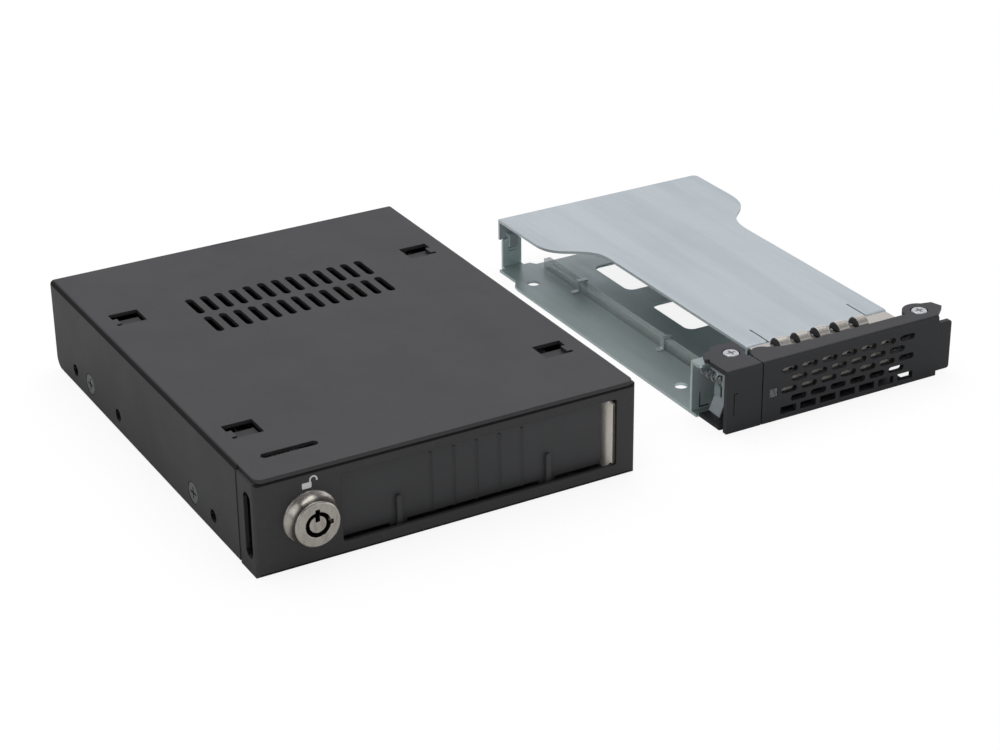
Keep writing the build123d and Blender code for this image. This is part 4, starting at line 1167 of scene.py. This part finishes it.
def build_floor(stage):
    """A round pale floor under the object."""
    depth = -0.02 * MM
    rim = []
    for step in range(stage.floor_rings):
        turn = 2 * math.pi * step / stage.floor_rings
        rim.append((stage.floor_reach * math.cos(turn), stage.floor_reach * math.sin(turn), depth))
    mesh = bpy.data.meshes.new("floor")
    mesh.from_pydata(rim, [], [tuple(range(len(rim)))])
    material, tree, shader = node_material("floor_paper")
    floor = new_piece("floor", mesh, material)
    grain = stretched_noise(tree, coordinates(tree), 400.0, detail=2.0, roughness=0.5)
    colour = tuple(stage.floor_colour)
    fleck_tone = 0.985
    darker = tuple(fleck_tone * part for part in colour)
    seen = background_rays(tree, straight=1.0, mirrored=stage.floor_gloss, lighting=1.0)
    dim = mixed_colour(tree, seen, (0.0, 0.0, 0.0), mixed_colour(tree, grain, colour, darker))
    tree.links.new(dim, shader["Base Color"])
    shader["Roughness"].default_value = 0.85
    shader["Specular IOR Level"].default_value = 0.1
    glow = tree.nodes.new("ShaderNodeEmission")
    glow.inputs["Strength"].default_value = 1.03
    mix = tree.nodes.new("ShaderNodeMixShader")
    glowing = background_rays(tree, straight=stage.floor_glow, mirrored=0.0)
    surfaces = (glowing, tree.nodes["Principled BSDF"].outputs["BSDF"], glow.outputs["Emission"])
    for socket, source in zip(mix.inputs, surfaces):
        tree.links.new(source, socket)
    tree.links.new(mix.outputs["Shader"], tree.nodes["Material Output"].inputs["Surface"])


def background_rays(tree, straight, mirrored, lighting=0.0):
    """A value for what the camera and glass see, one for gloss and one for light on the object."""
    rays = tree.nodes.new("ShaderNodeLightPath").outputs
    seen = number(tree, "MAXIMUM", rays["Is Camera Ray"], rays["Is Transmission Ray"])
    gloss = spread(tree, rays["Is Glossy Ray"], 0.0, 1.0, lighting, mirrored)
    return spread(tree, seen, 0.0, 1.0, gloss, straight)


def build_world(stage):
    """White to the camera, a pale room to reflections, and softer as a light."""
    world = bpy.data.worlds.new("studio")
    bpy.context.scene.world = world
    world.use_nodes = True
    tree = world.node_tree
    tree.nodes.clear()
    way = axes(tree, coordinates(tree, "Generated"))
    room = times(
        tree,
        spread(tree, way[2], low=0.33, high=0.58, to_low=1.0, to_high=stage.ceiling),
        spread(tree, way[0], low=-0.6, high=0.3, to_low=stage.left_wall, to_high=1.0),
    )
    gloss = background_rays(tree, straight=0.0, mirrored=1.0)
    sky = tree.nodes.new("ShaderNodeBackground")
    link_all(
        tree, sky.inputs,
        Color=mixed_colour(tree, gloss, (1.0, 1.0, 1.0), tuple(stage.mirrored_tint)),
        Strength=background_rays(tree, straight=1.0, mirrored=room, lighting=stage.dome),
    )
    out = tree.nodes.new("ShaderNodeOutputWorld")
    tree.links.new(sky.outputs["Background"], out.inputs["Surface"])


def area_lamp(name, place, target, size, power):
    """A square lamp that faces its target."""
    lamp = bpy.data.lights.new(name, "AREA")
    lamp.shape = "SQUARE"
    lamp.size = size
    lamp.energy = power
    body = bpy.data.objects.new(name, lamp)
    body.location = place
    way = Vector(target) - Vector(place)
    body.rotation_euler = way.to_track_quat("-Z", "Y").to_euler()
    bpy.context.scene.collection.objects.link(body)


def place_camera(context):
    """The photograph's place, angle and lens."""
    place = (-0.23514, -0.50537, 0.28538)
    focal_length = 87.44
    yaw = math.radians(29.36)
    pitch = math.radians(26.23)
    roll = math.radians(0.56)
    forward = Vector((
        math.sin(yaw) * math.cos(pitch), math.cos(yaw) * math.cos(pitch), -math.sin(pitch)
    ))
    level = Vector((math.cos(yaw), -math.sin(yaw), 0.0))
    down = forward.cross(level)
    right = math.cos(roll) * level + math.sin(roll) * down
    up = math.sin(roll) * level - math.cos(roll) * down
    turn = Matrix((right, up, -forward)).transposed()
    lens = bpy.data.cameras.new("photo_camera")
    lens.sensor_fit = "HORIZONTAL"
    lens.sensor_width = 36.0
    lens.lens = focal_length
    lens.clip_start = 0.01
    camera = bpy.data.objects.new("photo_camera", lens)
    camera.matrix_world = Matrix.Translation(place) @ turn.to_4x4()
    context.scene.collection.objects.link(camera)
    context.scene.camera = camera


class DRIVE_RACK_PT_panel(bpy.types.Panel):
    """Lists the steps and their settings"""

    bl_idname = "DRIVE_RACK_PT_panel"
    bl_label = "Drive Rack"
    bl_space_type = "VIEW_3D"
    bl_region_type = "UI"
    bl_category = "Drive Rack"

    def draw(self, context):
        for operator in operators:
            self.layout.operator(operator.bl_idname)
        for group in setting_groups:
            settings = getattr(context.scene, group)
            box = self.layout.box()
            for label in settings.__annotations__:
                box.prop(settings, label)


setting_groups = {
    "cage_finish": CageFinish,
    "lock_finish": LockFinish,
    "tray_finish": TrayFinish,
    "cover_shape": CoverShape,
    "stage_settings": StageSettings,
}
operators = (
    STAGE_OT_build,
    COAT_OT_cage,
    RAIL_OT_inside,
    DOOR_OT_finish,
    LOCK_OT_finish,
    SIGN_OT_padlock,
    TRAY_OT_sheets,
    COVER_OT_shape,
    ARCH_OT_shade,
    SLOT_OT_shade,
    PIPE_OT_finish,
    HANDLE_OT_finish,
)


def register():
    for name, settings in setting_groups.items():
        bpy.utils.register_class(settings)
        setattr(bpy.types.Scene, name, PointerProperty(type=settings))
    for operator in operators:
        bpy.utils.register_class(operator)
    bpy.utils.register_class(DRIVE_RACK_PT_panel)


def unregister():
    bpy.utils.unregister_class(DRIVE_RACK_PT_panel)
    for operator in reversed(operators):
        bpy.utils.unregister_class(operator)
    for name, settings in setting_groups.items():
        delattr(bpy.types.Scene, name)
        bpy.utils.unregister_class(settings)


def main():
    register()
    bpy.ops.drive_rack.build_stage()
    bpy.ops.drive_rack.coat_cage()
    bpy.ops.drive_rack.finish_inside()
    bpy.ops.drive_rack.finish_door()
    bpy.ops.drive_rack.finish_lock()
    bpy.ops.drive_rack.print_sign()
    bpy.ops.drive_rack.finish_tray()
    bpy.ops.drive_rack.shape_cover()
    bpy.ops.drive_rack.shape_ribs()
    bpy.ops.drive_rack.shape_key()
    bpy.ops.drive_rack.finish_pipe()
    bpy.ops.drive_rack.finish_handle()


if __name__ == "__main__":
    main()
